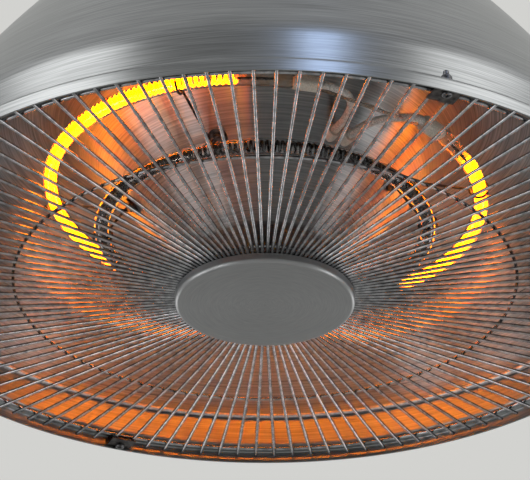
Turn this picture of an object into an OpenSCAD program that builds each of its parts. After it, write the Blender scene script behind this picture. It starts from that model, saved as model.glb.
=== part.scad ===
// Ceiling-hung mushroom patio heater: a spun dome over two ring-shaped quartz elements,
// with a trough-shaped reflector behind them and a radial wire guard in front.
// Millimetres. The origin is the centre of the hanging eye's bore, +Z is up.
// Heights in the Hidden section are measured from the rim's datum, 3 mm above the lip's lower edge.

/* [Dome] */
// Diameter over the turned-down lip
rim_d = 600; // [560:1:660]
// Height of the lip
lip_h = 10.6; // [9:0.1:14]
// Width of the flat flange between the lip and the skirt
flange_w = 12; // [11:0.5:16]
// Height of the upright skirt above the flange
skirt_h = 25.4; // [20:0.2:40]
// Radius of the soft bend where the skirt leans into the dome
knuckle_r = 30; // [20:1:45]
// Lean of the dome from upright where it leaves the skirt, degrees
dome_lean = 25.7; // [22:0.1:30]
// Radius of the lower dome's arc
dome_r = 701; // [620:1:800]
// Lean where the lower arc meets the shoulder, degrees
shoulder_lean = 41.5; // [38:0.5:46]
// Radius of the shoulder's arc
shoulder_r = 260; // [240:1:300]
// Radius at which the shoulder turns into the flat crown
crown_r = 78; // [72:1:90]
// Thickness of the dome's sheet
dome_t = 1.2; // [0.8:0.1:1.6]

/* [Reflector] */
// Thickness of the reflector's sheet
reflector_t = 0.8; // [0.6:0.1:1.2]
// Clear gap between the dome's sheet and the reflector's wall
reflector_gap = 4; // [3.5:0.1:6]
// Radius of the rolled bead along the reflector's edge
bead_r = 2.3; // [1.8:0.1:2.6]
// Lean where the wall leaves the dome and turns over the trough, degrees
trough_lean = 31; // [29:0.5:34]
// Radius of the trough's outer shoulder
trough_r = 86.5; // [80:0.5:92]
// Radius of the trough's ridge
ridge_r = 30; // [24:1:36]
// Steepness of the inner cone, degrees
cone_angle = 48; // [45:0.5:50]
// Height of the cone's flat bottom
flat_h = 23.2; // [21:0.1:28]
// Radius of the bend between the cone and its flat bottom
flat_bend = 8; // [5:1:12]

/* [Elements] */
// Radius of the outer element's ring
outer_ring_r = 162; // [155:1:168]
// Height of the outer element's ring
outer_ring_z = 76.5; // [70:0.5:84]
// Slope of the outer element's ring along X
outer_slope_x = -0.058; // [-0.07:0.001:0.07]
// Slope of the outer element's ring along Y
outer_slope_y = -0.017; // [-0.05:0.001:0.05]
// Radius of the inner element's ring
inner_ring_r = 122; // [116:1:126]
// Height of the inner element's ring
inner_ring_z = 48; // [44:0.5:54]
// Outside diameter of the quartz tube
tube_d = 11.5; // [11:0.1:12]
// Wall of the quartz tube
tube_wall = 1; // [0.8:0.1:1.2]
// Mean radius of the filament's curls
curl_r = 3.4; // [3:0.1:3.6]
// Radius of the filament's wire
filament_wire_r = 0.65; // [0.4:0.05:0.7]
// Number of curls on the outer filament
outer_curls = 48; // [30:1:50]
// Number of curls on the inner filament
inner_curls = 40; // [26:1:42]
// Length of a ceramic end cap
cap_l = 19.5; // [18:0.5:22]
// Diameter of the glass-fibre lead sleeves
sleeve_d = 6; // [5:0.1:6.2]

/* [Guard] */
// Number of radial rods
rod_count = 120; // [90:2:120]
// Diameter of a rod
rod_d = 2.5; // [2:0.1:2.7]
// Radius of the rods' inner ends
rod_in_r = 57; // [57:0.5:60]
// Height of the rods' inner ends
rod_in_z = -7.2; // [-9:0.1:-6]
// Rise of the rods per millimetre of radius
rod_slope = 0.036; // [0.03:0.001:0.042]
// Diameter of the guard's outer ring
edge_ring_d = 3.2; // [2.8:0.1:3.4]
// Radius of the middle ring
mid_ring_r = 186.3; // [170:0.1:200]
// Diameter of the middle and hub rings
mid_ring_d = 2.5; // [2:0.1:3]
// Radius of the hub disc
hub_r = 66.7; // [65:0.1:72]
// Depth of the hub disc
hub_h = 7; // [6:0.5:9]
// Thickness of the hub disc's sheet
hub_t = 1; // [0.8:0.1:1.5]
// Angle of the first of the four guard clips
first_clip = 24; // [24:3:36]

/* [Switch box] */
// Width of the switch box along X
box_w = 104; // [100:1:110]
// Depth of the switch box along Y
box_d = 84; // [82:1:90]
// Height of the switch box
box_h = 46; // [44:1:52]
// Wall of the switch box
box_wall = 2; // [1.8:0.1:2.5]
// Travel of a rocker from one side to the other, degrees
rocker_travel = 20; // [16:1:20]

/* [Hanging eye] */
// Diameter of the eye's bore
eye_bore_d = 14; // [12:0.5:16]
// Outside diameter of the eye
eye_d = 30; // [28:0.5:34]
// Thickness of the eye
eye_t = 12; // [10:0.5:14]
// Diameter of the eye's shank
shank_d = 10; // [8:0.5:10]
// Height of the eye's centre above the lock nut
eye_neck = 20; // [18:0.5:30]

/* [Hidden] */

$fn = 96;
// Clearance of a screw in its hole
hole_gap = 0.3;
// Clearance of a screw in its nut
thread_gap = 0.05;
// Clearance between wires that cross, and of other parts that seat
seat_gap = 0.06;
// Clearance of a sleeve in its bore
sleeve_gap = 0.15;

// Head of every pan-head screw
head_d = 7.2;
head_h = 2.4;

// Rim and skirt
rim_r = rim_d / 2;
lip_z = -3;
flange_z = lip_z + lip_h;
skirt_r = rim_r - flange_w;
skirt_top = flange_z + skirt_h;
bend_r = 2.4;

// Arcs of the dome, each tangent to the one before
knuckle_c = [skirt_r - knuckle_r, skirt_top];
dome_c = knuckle_c + (knuckle_r - dome_r) * dir(dome_lean);
shoulder_c = dome_c + (dome_r - shoulder_r) * dir(shoulder_lean);
crown_lean = acos((crown_r - shoulder_c.x) / shoulder_r);
crown_bend = 10;
crown_c = shoulder_c + (shoulder_r - crown_bend) * dir(crown_lean);
crown_z = crown_c.y + crown_bend;

// Arcs of the reflector, which runs beside the dome and then turns over
wall_off = dome_t + reflector_gap;
trough_c = dome_c + (dome_r - wall_off - trough_r) * dir(trough_lean);
ridge_c = trough_c + [0, trough_r - ridge_r];
ridge_end = ridge_c + ridge_r * dir(90 + cone_angle);
flat_r = ridge_end.x - (ridge_end.y - flat_h) / tan(cone_angle);
bead_clear = 0.4;
bead_c = [skirt_r - dome_t - bead_clear - bead_r, skirt_top];

// Switch box and what stands on the crown
plate_t = 3;
foot_t = 2;
gasket_t = 2;
lid_t = 2;
lid_seal_t = 1.5;
box_corner = 12;
floor_z = gasket_t + box_wall;
box_top = gasket_t + box_h;
lid_top = box_top + lid_seal_t + lid_t;
washer_t = 2;
washer_d = 20;
eye_nut_h = 8;
eye_z = crown_z + lid_top + washer_t + eye_nut_h + eye_neck;
rim_z = -eye_z;

// Crown bolts and lead bushes, round the eye's shank
crown_bolt_r = 36;
crown_bolt_d = 6;
crown_bolt_angles = [45, 135, 225, 315];
crown_bolt_af = 10;
crown_head_h = 4;
crown_nut_h = 5;
crown_bolt_end = 8;
bush_r = 29.5;
bush_d = 19.4;
bush_bore = 14;
bush_angles = [-90, 90];

// Carrier tube between the crown and the reflector's flat bottom
carrier_d = 34;
carrier_wall = 1.5;
carrier_plate_r = 47;
foot_plate_r = 30;
reflector_screw_r = 21.2;
reflector_screw_d = 4;
reflector_screw_angles = [-135, -45, 45, 135];
stud_d = 8;

// Elements: the tube's ends are at these angles, and the curls run between the inner pair
outer_ends = [-38.5, 277];
outer_lit = [-24, 263];
inner_ends = [112, 428];
inner_lit = [119, 421];
cap_w = 12;
cap_h = 10;
cap_r = 2.5;
pinch_w = 9;
pinch_t = 3;
pinch_l = 12;
plug_angle = 4;
wire_r = 1;

// Brackets: a screw on the cone carries one loop round each tube, some a little to one side
bracket_angles = [-110, -8, 58, 174];
bracket_turns = [0, -10, 0, 4];
bracket_feet = bracket_angles + bracket_turns;
bracket_r = 100;
bracket_eye_r = 7.4;
foot_eye_t = 2.2;
arm_offset = 6.2;
bracket_screw_d = 4;
loop_r = tube_d / 2 + 0.3 + wire_r;
loop_open = 50;

// Lead sleeves: where each one goes through the cone
outer_bush_angles = [-62.5, -55.5];
inner_bush_angles = [94.5, 85.5];
cone_bush_d = 10;
cone_bush_l = 12;
lead_step = 3.4;

// Guard
rod_r = rod_d / 2;
rod_out_r = rim_r - 4;
edge_ring_r = rim_r - 13.2;
hub_ring_r = hub_r + 3.2;
mid_wire_r = mid_ring_d / 2;
edge_wire_r = edge_ring_d / 2;
backplate_r = 64;
backplate_t = 1.5;
hub_top = rod_z(hub_r) - rod_r - seat_gap;
backplate_z = rod_z(backplate_r) + rod_r + seat_gap;

// Guard clips
clip_angles = [for (i = [0 : 3]) first_clip + 90 * i];
clip_screw_r = rim_r - 5.9;
clip_screw_d = 4;
clip_w = 20;
clip_t = 1;
clip_in_r = rim_r - 17;
clip_z = rod_z(clip_in_r) - rod_r - seat_gap;
clip_out_r = rim_r - bend_r - 0.1;
nut_af = 7;
nut_h = 8;
nut_washer_t = 0.8;

// Rocker switches: the rocker turns about a pin across its bezel
switch_cut = [13, 19];
switch_bezel = [15, 21];
bezel_t = 2;
switch_depth = 18;
switch_y = 13;
switch_up = 26;
rocker_w = 9.6;
rocker_r = 8.4;
rocker_gap = 0.4;
rocker_rise = 2.5;
rocker_pin_d = 2.4;
rocker_pin_l = 1.2;
pin_gap = 0.05;

// Cable gland on the side away from the rockers
gland_d = 20;
gland_bore = 9;
gland_up = 25;
gland_af = 24;
terminal_x = 35;
terminal_size = [14, 34, 14];
way_pitch = 8;

// Direction in the plane of a profile at an angle from level
function dir(a) = [cos(a), sin(a)];

function unit(v) = v / norm(v);

// Points of an arc, from one angle to another
function arc(c, r, a0, a1, n) = [for (i = [0 : n]) c + r * dir(a0 + (a1 - a0) * i / n)];

// Left-hand normal of a stretch of a profile
function left(a, b) = [a.y - b.y, b.x - a.x] / norm(b - a);

// A point of a profile moved to its left by t, mitred between its two neighbours
function shifted(p, i, t) =
  let (
    n1 = left(p[max(i - 1, 0)], p[max(i, 1)]),
    n2 = left(p[min(i, len(p) - 2)], p[min(i + 1, len(p) - 1)])
  )
  p[i] + t * (n1 + n2) / (1 + n1 * n2);

// Closed outline of a sheet whose outer side follows the profile p
function sheet(p, t) = concat(p, [for (i = [len(p) - 1 : -1 : 0]) shifted(p, i, t)]);

// Outer side of the dome, from the lip's lower edge to the hole in the crown
function dome_profile(hole_r) = concat(
  [[rim_r, lip_z]],
  arc([rim_r - bend_r, flange_z - bend_r], bend_r, 0, 90, 4),
  arc([skirt_r + dome_t, flange_z + dome_t], dome_t, 270, 180, 3),
  arc(knuckle_c, knuckle_r, 0, dome_lean, 4),
  arc(dome_c, dome_r, dome_lean + 1, shoulder_lean, 9),
  arc(shoulder_c, shoulder_r, shoulder_lean + 3, crown_lean, 8),
  arc(crown_c, crown_bend, crown_lean + 6, 90, 3),
  [[hole_r, crown_z]]
);

// Upper side of the reflector, from its beaded edge over the trough and down the cone
function reflector_profile(hole_r) = concat(
  [[skirt_r - wall_off, bead_c.y]],
  arc(knuckle_c, knuckle_r - wall_off, dome_lean / 3, dome_lean, 2),
  arc(dome_c, dome_r - wall_off, dome_lean + 1, trough_lean, 4),
  arc(trough_c, trough_r, trough_lean + 5, 90, 9),
  arc(ridge_c, ridge_r, 90 + cone_angle / 8, 90 + cone_angle, 6),
  arc(
    [flat_r - flat_bend * tan(cone_angle / 2), flat_h + flat_bend],
    flat_bend, 270 + cone_angle, 270, 5
  ),
  [[hole_r, flat_h]]
);

// Height of the cone's lower side at a radius
function cone_z(r) =
  ridge_end.y + (r - ridge_end.x) * tan(cone_angle) - reflector_t / cos(cone_angle);

// Radius of the cone's middle at a height
function cone_r(z) = ridge_end.x + (z - ridge_end.y) / tan(cone_angle);

// Height of a rod's axis at a radius
function rod_z(r) = rod_in_z + rod_slope * (r - rod_in_r);

// A point from its angle, radius and height
function polar(a, r, z) = [r * cos(a), r * sin(a), z];

// Slope of the outer element's ring along a direction, and a point of that ring
function outer_slope(a) = atan(outer_slope_x * cos(a) + outer_slope_y * sin(a));
function outer_at(a) = polar(
  a,
  outer_ring_r * cos(outer_slope(a)),
  outer_ring_z + outer_ring_r * sin(outer_slope(a))
);

// Direction of a path at one of its points
function heading(p, i) = unit(p[min(i + 1, len(p) - 1)] - p[max(i - 1, 0)]);

// What is left of a vector across a direction
function across(v, t) = unit(v - (v * t) * t);

// Normals carried along a path without twist
function carried(p, start) = [
  for (
    i = 0, n = across(start, heading(p, 0));
    i < len(p);
    i = i + 1, n = i < len(p) ? across(n, heading(p, i)) : n
  ) n
];

// Points of a round tube along a path, ring by ring
function tube_points(p, r, sides, start) =
  let (normals = carried(p, start))
  [
    for (i = [0 : len(p) - 1], k = [0 : sides - 1])
      let (n = normals[i], b = cross(heading(p, i), n), a = 360 * k / sides)
      p[i] + r * (cos(a) * n + sin(a) * b)
  ];

function tube_faces(n, sides) = concat(
  [for (k = [1 : sides - 2]) [0, k, k + 1]],
  [for (k = [1 : sides - 2]) (n - 1) * sides * [1, 1, 1] + [0, k + 1, k]],
  [
    for (i = [0 : n - 2], k = [0 : sides - 1], half = [0, 1])
      let (a = i * sides + k, b = i * sides + (k + 1) % sides, c = b + sides, d = a + sides)
      half == 0 ? [a, d, c] : [a, c, b]
  ]
);

// Point of a smooth curve through p, at the fraction t of the stretch after point i
function smooth_point(p, i, t) =
  let (
    a = p[max(i - 1, 0)],
    b = p[i],
    c = p[i + 1],
    d = p[min(i + 2, len(p) - 1)]
  )
  0.5 * (2 * b + (c - a) * t + (2 * a - 5 * b + 4 * c - d) * t * t
    + (3 * b - a - 3 * c + d) * t * t * t);

// A smooth curve with n steps between its points
function smooth(p, n) = concat(
  [for (i = [0 : len(p) - 2], k = [0 : n - 1]) smooth_point(p, i, k / n)],
  [p[len(p) - 1]]
);

// Helix of a filament round its ring, with straight ends on the tube's axis
curl_rings = 8;
function filament_path(ring_r, ends, lit, curls) =
  let (n = curls * curl_rings, end_gap = plug_angle + 0.3)
  concat(
    [polar(ends[0] + end_gap, ring_r, 0), polar(lit[0] - 1.5, ring_r, 0)],
    [
      for (i = [0 : n])
        let (phi = 360 * i / curl_rings, r = ring_r + curl_r * cos(phi))
        polar(lit[0] + (lit[1] - lit[0]) * i / n, r, curl_r * sin(phi))
    ],
    [polar(lit[1] + 1.5, ring_r, 0), polar(ends[1] - end_gap, ring_r, 0)]
  );

// Least gap between neighbouring curls, measured on the points of the helix
function least_gap(p) =
  min([for (i = [2 : len(p) - 3 - curl_rings]) norm(p[i + curl_rings] - p[i])])
  - 2 * filament_wire_r;

outer_path = filament_path(outer_ring_r, outer_ends, outer_lit, outer_curls);
inner_path = filament_path(inner_ring_r, inner_ends, inner_lit, inner_curls);
echo(outer_filament_least_gap = least_gap(outer_path));
echo(inner_filament_least_gap = least_gap(inner_path));

// Angle that half a cap covers on its ring, with room for the tilt of the tube's end
cap_room = 0.5;
function half_cap(ring_r) = asin((cap_l / 2 + cap_room) / ring_r);

// Angles of the four caps' middles
outer_cap_angles = [
  outer_ends[1] + half_cap(outer_ring_r),
  outer_ends[0] - half_cap(outer_ring_r)
];
inner_cap_angles = [
  inner_ends[0] - half_cap(inner_ring_r),
  inner_ends[1] + half_cap(inner_ring_r)
];

// Straight start of a lead, out of a cap at c that opens along the unit vector t
function lead_start(c, t) = [c + 5 * t, c + 10 * t, c + 16 * t];
function tangent(a) = [-sin(a), cos(a), 0];
function outer_tangent(a) =
  unit([-sin(a), cos(a), outer_slope_y * cos(a) - outer_slope_x * sin(a)]);

// The height at which the leads go through the cone
outer_bush_z = 77;
inner_bush_z = 50;

// End of every lead: up through a crown bush and over to the terminal block, the pair's
// sleeves kept apart by their lift
entry_x = terminal_x - terminal_size.x / 2 - seat_gap;
entry_z = crown_z + floor_z + terminal_size.z / 2;
function way_y(i) = (i - 1.5) * way_pitch;
below_crown = [30, 5];
function lead_rise(x, y, way, lift) = [
  [x, y, crown_z - below_crown[0]],
  [x, y, crown_z - below_crown[1]],
  [x, y, crown_z + 10],
  [x + 3, 0.87 * y, crown_z + 15 + lift],
  [(x + 3 + entry_x) / 2 - 2, (0.87 * y + way_y(way)) / 2, crown_z + 16 + lift],
  [entry_x - 6, way_y(way), entry_z],
  [entry_x - 2.5, way_y(way), entry_z],
  [entry_x, way_y(way), entry_z]
];

// The outer element's two leads, by angle, radius and height, then up to the crown
outer_leads = [
  concat(
    lead_start(outer_at(outer_cap_angles[0]), outer_tangent(outer_cap_angles[0])),
    [
      polar(-68.5, 156, 78), polar(-64.5, 143, 79), polar(-62.7, 128, 78),
      polar(-62.5, 114, outer_bush_z), polar(-62.5, 110, outer_bush_z),
      polar(-62.5, 97, outer_bush_z), polar(-62.5, 93, outer_bush_z),
      polar(-64, 80, 88), polar(-69, 66, 120), polar(-78, 48, 180)
    ],
    lead_rise(-lead_step, -bush_r, 1, 6)
  ),
  concat(
    lead_start(outer_at(outer_cap_angles[1]), -outer_tangent(outer_cap_angles[1])),
    [
      polar(-50.5, 152, 75), polar(-53, 141, 76.5), polar(-55, 128, 77),
      polar(-55.5, 114, outer_bush_z), polar(-55.5, 110, outer_bush_z),
      polar(-55.5, 97, outer_bush_z), polar(-55.5, 93, outer_bush_z),
      polar(-56.5, 80, 88), polar(-61, 66, 120), polar(-70, 48, 180)
    ],
    lead_rise(lead_step, -bush_r, 0, 0)
  )
];

// The inner element's two leads
inner_leads = [
  concat(
    lead_start(polar(inner_cap_angles[0], inner_ring_r, inner_ring_z), -tangent(inner_cap_angles[0])),
    [
      polar(97, 116, 48.5), polar(94.7, 104, 49.5), polar(94.5, 90, inner_bush_z),
      polar(94.5, 86, inner_bush_z), polar(94.5, 72.5, inner_bush_z),
      polar(94.5, 68.5, inner_bush_z), polar(94.5, 58, 72), polar(94.5, 45, 120),
      polar(95, 35, 180)
    ],
    lead_rise(-lead_step, bush_r, 2, 6)
  ),
  concat(
    lead_start(polar(inner_cap_angles[1], inner_ring_r, inner_ring_z), tangent(inner_cap_angles[1])),
    [
      polar(83, 116, 48.5), polar(85.3, 104, 49.5), polar(85.5, 90, inner_bush_z),
      polar(85.5, 86, inner_bush_z), polar(85.5, 72.5, inner_bush_z),
      polar(85.5, 68.5, inner_bush_z), polar(85.5, 58, 72), polar(85.5, 45, 120),
      polar(85, 35, 180)
    ],
    lead_rise(lead_step, bush_r, 3, 0)
  )
];

// Places a piece drawn from the rim's datum, or from the top of the crown
module at_rim() translate([0, 0, rim_z]) children();
module at_crown() translate([0, 0, rim_z + crown_z]) children();

// Copies a piece round the axis
module around(angles) for (a = angles) rotate([0, 0, a]) children();

// Ring of round wire
module ring(r, wire, z) translate([0, 0, z]) rotate_extrude() translate([r, 0]) circle(wire);

// Cylinder from one point to another
module bar(a, b, r) {
  v = b - a;
  translate(a) rotate([0, acos(v.z / norm(v)), atan2(v.y, v.x)]) cylinder(h = norm(v), r = r, $fn = 32);
}

// Tube along a path
module tube(p, r, sides, start) {
  polyhedron(tube_points(p, r, sides, start), tube_faces(len(p), sides), convexity = 10);
}

// Rectangle with round corners
module rounded(w, d, r) {
  square([w - 2 * r, d], center = true);
  square([w, d - 2 * r], center = true);
  for (x = [-1, 1], y = [-1, 1]) translate([x * (w / 2 - r), y * (d / 2 - r)]) circle(r);
}

// Hexagon nut or head by its width across flats
module hexagon(af, h) cylinder(h = h, d = af / cos(30), $fn = 6);

// Pan-head screw that points up, with its head below z = 0
module pan_screw(d, length) {
  translate([0, 0, -head_h]) cylinder(h = head_h, d1 = 0.78 * head_d, d2 = head_d);
  cylinder(h = length, d = d);
}

// Leans the outer element's frame by its two slopes
module outer_frame() {
  g = [outer_slope_x, outer_slope_y];
  translate([0, 0, outer_ring_z]) rotate(a = atan(norm(g)), v = [g.y, -g.x, 0]) children();
}

module inner_frame() translate([0, 0, inner_ring_z]) children();

// Places a piece at a cap's middle, with +Y pointing out of the cap's lead end
module at_caps(ring_r, angles, signs) {
  for (i = [0, 1]) rotate([0, 0, angles[i]]) translate([ring_r, 0, 0]) scale_y(signs[i]) children();
}
module scale_y(s) {
  if (s > 0) children();
  if (s < 0) mirror([0, 1, 0]) children();
}

// Stands a piece on the cone's lower side, its +Z pointing away from the sheet
module on_cone(r) translate([r, 0, cone_z(r)]) rotate([0, 180 - cone_angle, 0]) children();

// Holes for the crown bolts, the lead bushes and the eye's shank
module crown_holes(z, h) {
  around(crown_bolt_angles) translate([crown_bolt_r, 0, z]) {
    cylinder(h = h, d = crown_bolt_d + 2 * hole_gap);
  }
  around(bush_angles) translate([bush_r, 0, z]) cylinder(h = h, d = bush_d + 2 * hole_gap);
  translate([0, 0, z]) cylinder(h = h, d = shank_d + 2 * hole_gap);
}

// Dome

module dome_shell() color("silver") at_rim() difference() {
  rotate_extrude() polygon(sheet(dome_profile(shank_d / 2 - 1), dome_t));
  translate([0, 0, crown_z]) crown_holes(-dome_t - 1, dome_t + 2);
  around(clip_angles) translate([clip_screw_r, 0, flange_z - dome_t - 1]) {
    cylinder(h = dome_t + 2, d = clip_screw_d + 2 * hole_gap);
  }
}

// Reflector and its carrier

module reflector() color("gainsboro") at_rim() difference() {
  union() {
    rotate_extrude() polygon(sheet(reflector_profile(stud_d / 2 + hole_gap), reflector_t));
    ring(bead_c.x, bead_r, bead_c.y);
  }
  around(bracket_feet) on_cone(bracket_r) translate([0, 0, -3]) {
    cylinder(h = 6, d = bracket_screw_d + 2 * hole_gap);
  }
  around(outer_bush_angles) cone_bore(outer_bush_z);
  around(inner_bush_angles) cone_bore(inner_bush_z);
  around(reflector_screw_angles) translate([reflector_screw_r, 0, flat_h - 3]) {
    cylinder(h = 6, d = reflector_screw_d + 2 * hole_gap);
  }
}

module cone_bore(z) translate([cone_r(z) - cone_bush_l, 0, z]) rotate([0, 90, 0]) {
  cylinder(h = 2 * cone_bush_l, d = cone_bush_d + 2 * seat_gap);
}

module lead_bushes() color("ivory") at_rim() {
  around(outer_bush_angles) cone_bush(outer_bush_z);
  around(inner_bush_angles) cone_bush(inner_bush_z);
}

module cone_bush(z) translate([cone_r(z) - cone_bush_l / 2, 0, z]) rotate([0, 90, 0]) difference() {
  cylinder(h = cone_bush_l, d = cone_bush_d);
  translate([0, 0, -1]) cylinder(h = cone_bush_l + 2, d = sleeve_d + 2 * sleeve_gap);
}

module reflector_screws() color("dimgray") at_rim() {
  around(reflector_screw_angles) translate([reflector_screw_r, 0, flat_h - reflector_t]) {
    pan_screw(reflector_screw_d, reflector_t + foot_t + 6);
  }
}

module carrier_foot_plate() color("lightgray") at_rim() translate([0, 0, flat_h]) difference() {
  cylinder(h = foot_t, r = foot_plate_r);
  translate([0, 0, -1]) cylinder(h = foot_t + 2, d = stud_d + 2 * hole_gap);
  around(reflector_screw_angles) translate([reflector_screw_r, 0, -1]) {
    cylinder(h = foot_t + 2, d = reflector_screw_d + 2 * thread_gap);
  }
}

carrier_bottom = flat_h + foot_t;
carrier_top = crown_z - dome_t - plate_t;

module carrier_tube() color("lightgray") at_rim() difference() {
  translate([0, 0, carrier_bottom]) cylinder(h = carrier_top - carrier_bottom, d = carrier_d);
  translate([0, 0, carrier_bottom - 1]) {
    cylinder(h = carrier_top - carrier_bottom + 2, d = carrier_d - 2 * carrier_wall);
  }
}

module carrier_top_plate() color("lightgray") at_crown() difference() {
  translate([0, 0, -dome_t - plate_t]) cylinder(h = plate_t, r = carrier_plate_r);
  crown_holes(-dome_t - plate_t - 1, plate_t + 2);
}

// Crown and switch box

module crown_gasket() color("black") at_crown() difference() {
  linear_extrude(gasket_t) rounded(box_w, box_d, box_corner);
  crown_holes(-1, gasket_t + 2);
}

module crown_bolts() color("gray") at_crown() around(crown_bolt_angles) {
  translate([crown_bolt_r, 0, floor_z]) {
    hexagon(crown_bolt_af, crown_head_h);
    translate([0, 0, -floor_z - dome_t - plate_t - crown_bolt_end]) {
      cylinder(h = floor_z + dome_t + plate_t + crown_bolt_end, d = crown_bolt_d);
    }
  }
}

module crown_nuts() color("gray") at_crown() around(crown_bolt_angles) {
  translate([crown_bolt_r, 0, -dome_t - plate_t - crown_nut_h]) difference() {
    hexagon(crown_bolt_af, crown_nut_h);
    translate([0, 0, -1]) cylinder(h = crown_nut_h + 2, d = crown_bolt_d + 2 * thread_gap);
  }
}

module crown_bushes() color("black") at_crown() around(bush_angles) {
  translate([bush_r, 0, -dome_t - plate_t - 2]) difference() {
    union() {
      cylinder(h = 2, d = bush_d + 5);
      cylinder(h = floor_z + dome_t + plate_t + 4, d = bush_d);
    }
    translate([0, 0, -1]) cylinder(h = floor_z + dome_t + plate_t + 6, d = bush_bore);
  }
}

// Corner posts that the lid's screws go into
post_x = box_w / 2 - 7.5;
post_y = box_d / 2 - 7.5;
post_d = 9;
post_bore_l = 14;
lid_screw_d = 4;

module corner_posts(z, h, d) {
  for (x = [-1, 1], y = [-1, 1]) translate([x * post_x, y * post_y, z]) cylinder(h = h, d = d);
}

// Places a switch on the box's -X wall, its +Z pointing out of the wall
module at_switch(y) translate([-box_w / 2, y, gasket_t + switch_up]) rotate([0, -90, 0]) children();

module switch_box() color("silver") at_crown() difference() {
  union() {
    difference() {
      translate([0, 0, gasket_t]) linear_extrude(box_h) rounded(box_w, box_d, box_corner);
      translate([0, 0, floor_z]) linear_extrude(box_h) {
        rounded(box_w - 2 * box_wall, box_d - 2 * box_wall, box_corner - box_wall);
      }
    }
    corner_posts(gasket_t, box_h, post_d);
  }
  corner_posts(box_top - post_bore_l, post_bore_l + 1, lid_screw_d + 2 * thread_gap);
  crown_holes(0, floor_z + 1);
  for (y = [-switch_y, switch_y]) at_switch(y) translate([0, 0, -box_wall - 1]) {
    linear_extrude(box_wall + 2) {
      square([switch_cut.y + 2 * seat_gap, switch_cut.x + 2 * seat_gap], center = true);
    }
  }
  translate([box_w / 2 - box_wall - 1, 0, gasket_t + gland_up]) rotate([0, 90, 0]) {
    cylinder(h = box_wall + 2, d = gland_d + 2 * hole_gap);
  }
}

module lid_seal() color("black") at_crown() difference() {
  translate([0, 0, box_top]) linear_extrude(lid_seal_t) rounded(box_w, box_d, box_corner);
  translate([0, 0, box_top - 1]) linear_extrude(lid_seal_t + 2) {
    rounded(box_w - 8, box_d - 8, box_corner - 4);
  }
  corner_posts(box_top - 1, lid_seal_t + 2, lid_screw_d + 2 * hole_gap);
}

// Overhang, rim and clearance of the lid
lid_over = 2.3;
lid_rim = 6;
lid_gap = 0.3;
lid_edge = 1;

module box_lid() color("silver") at_crown() difference() {
  union() {
    translate([0, 0, lid_top - lid_t - lid_seal_t - lid_rim]) {
      linear_extrude(lid_rim + lid_seal_t + lid_t / 2) {
        rounded(box_w + 2 * lid_over, box_d + 2 * lid_over, box_corner + lid_over);
      }
    }
    translate([0, 0, lid_top - lid_t]) linear_extrude(lid_t) {
      rounded(
        box_w + 2 * (lid_over - lid_edge), box_d + 2 * (lid_over - lid_edge),
        box_corner + lid_over - lid_edge
      );
    }
  }
  translate([0, 0, lid_top - lid_t - lid_seal_t - lid_rim - 1]) {
    linear_extrude(lid_rim + lid_seal_t + 1) {
      rounded(box_w + 2 * lid_gap, box_d + 2 * lid_gap, box_corner + lid_gap);
    }
  }
  corner_posts(lid_top - lid_t - 1, lid_t + 2, lid_screw_d + 2 * hole_gap);
  cylinder(h = lid_top + 1, d = shank_d + 2 * hole_gap);
}

module lid_screws() color("dimgray") at_crown() {
  for (x = [-1, 1], y = [-1, 1]) translate([x * post_x, y * post_y, lid_top]) {
    rotate([180, 0, 0]) pan_screw(lid_screw_d, lid_t + lid_seal_t + 11);
  }
}

// Hanging eye

shank_bottom = -dome_t - plate_t - eye_nut_h - washer_t - 6;

module hanging_eye() color("silver") difference() {
  union() {
    rotate([90, 0, 0]) cylinder(h = eye_t, d = eye_d, center = true);
    translate([0, 0, rim_z + crown_z + shank_bottom]) {
      cylinder(h = -rim_z - crown_z - shank_bottom - eye_bore_d / 2 - 1, d = shank_d);
    }
  }
  rotate([90, 0, 0]) cylinder(h = eye_t + 2, d = eye_bore_d, center = true);
}

module washer(d, bore, t) difference() {
  cylinder(h = t, d = d);
  translate([0, 0, -1]) cylinder(h = t + 2, d = bore);
}

module eye_washers() color("gray") at_crown() {
  for (z = [lid_top, -dome_t - plate_t - washer_t]) {
    translate([0, 0, z]) washer(washer_d, shank_d + 2 * hole_gap, washer_t);
  }
}

module eye_nuts() color("gray") at_crown() {
  for (z = [lid_top + washer_t, -dome_t - plate_t - washer_t - eye_nut_h]) {
    translate([0, 0, z]) difference() {
      hexagon(16, eye_nut_h);
      translate([0, 0, -1]) cylinder(h = eye_nut_h + 2, d = shank_d + 2 * thread_gap);
    }
  }
}

// Cable gland, its +Z pointing out of the box

module at_gland() at_crown() translate([box_w / 2, 0, gasket_t + gland_up]) rotate([0, 90, 0]) children();

gland_nut_h = 5;
gland_neck_l = 10;

module cable_gland() color("black") at_gland() difference() {
  union() {
    hexagon(gland_af, 5);
    translate([0, 0, -box_wall - gland_nut_h - 1]) cylinder(h = box_wall + gland_nut_h + 1, d = gland_d);
    cylinder(h = 5 + gland_neck_l, d = gland_d - 2);
  }
  translate([0, 0, -box_wall - gland_nut_h - 2]) cylinder(h = 30, d = gland_bore + 3);
}

module gland_seal() color("dimgray") at_gland() translate([0, 0, 4]) difference() {
  cylinder(h = 5 + gland_neck_l - 4, d = gland_bore + 3 - 2 * seat_gap);
  translate([0, 0, -1]) cylinder(h = 20, d = gland_bore);
}

module gland_cap() color("black") at_gland() translate([0, 0, 5 + seat_gap]) difference() {
  union() {
    hexagon(gland_af - 1, 7);
    translate([0, 0, 7]) cylinder(h = 6, d1 = gland_af - 1, d2 = gland_bore + 5);
  }
  translate([0, 0, -1]) cylinder(h = gland_neck_l + 1, d = gland_d - 2 + 2 * thread_gap);
  cylinder(h = 20, d = gland_bore);
}

module gland_locknut() color("black") at_gland() {
  translate([0, 0, -box_wall - gland_nut_h]) difference() {
    hexagon(gland_af, gland_nut_h);
    translate([0, 0, -1]) cylinder(h = gland_nut_h + 2, d = gland_d + 2 * thread_gap);
  }
}

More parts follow.
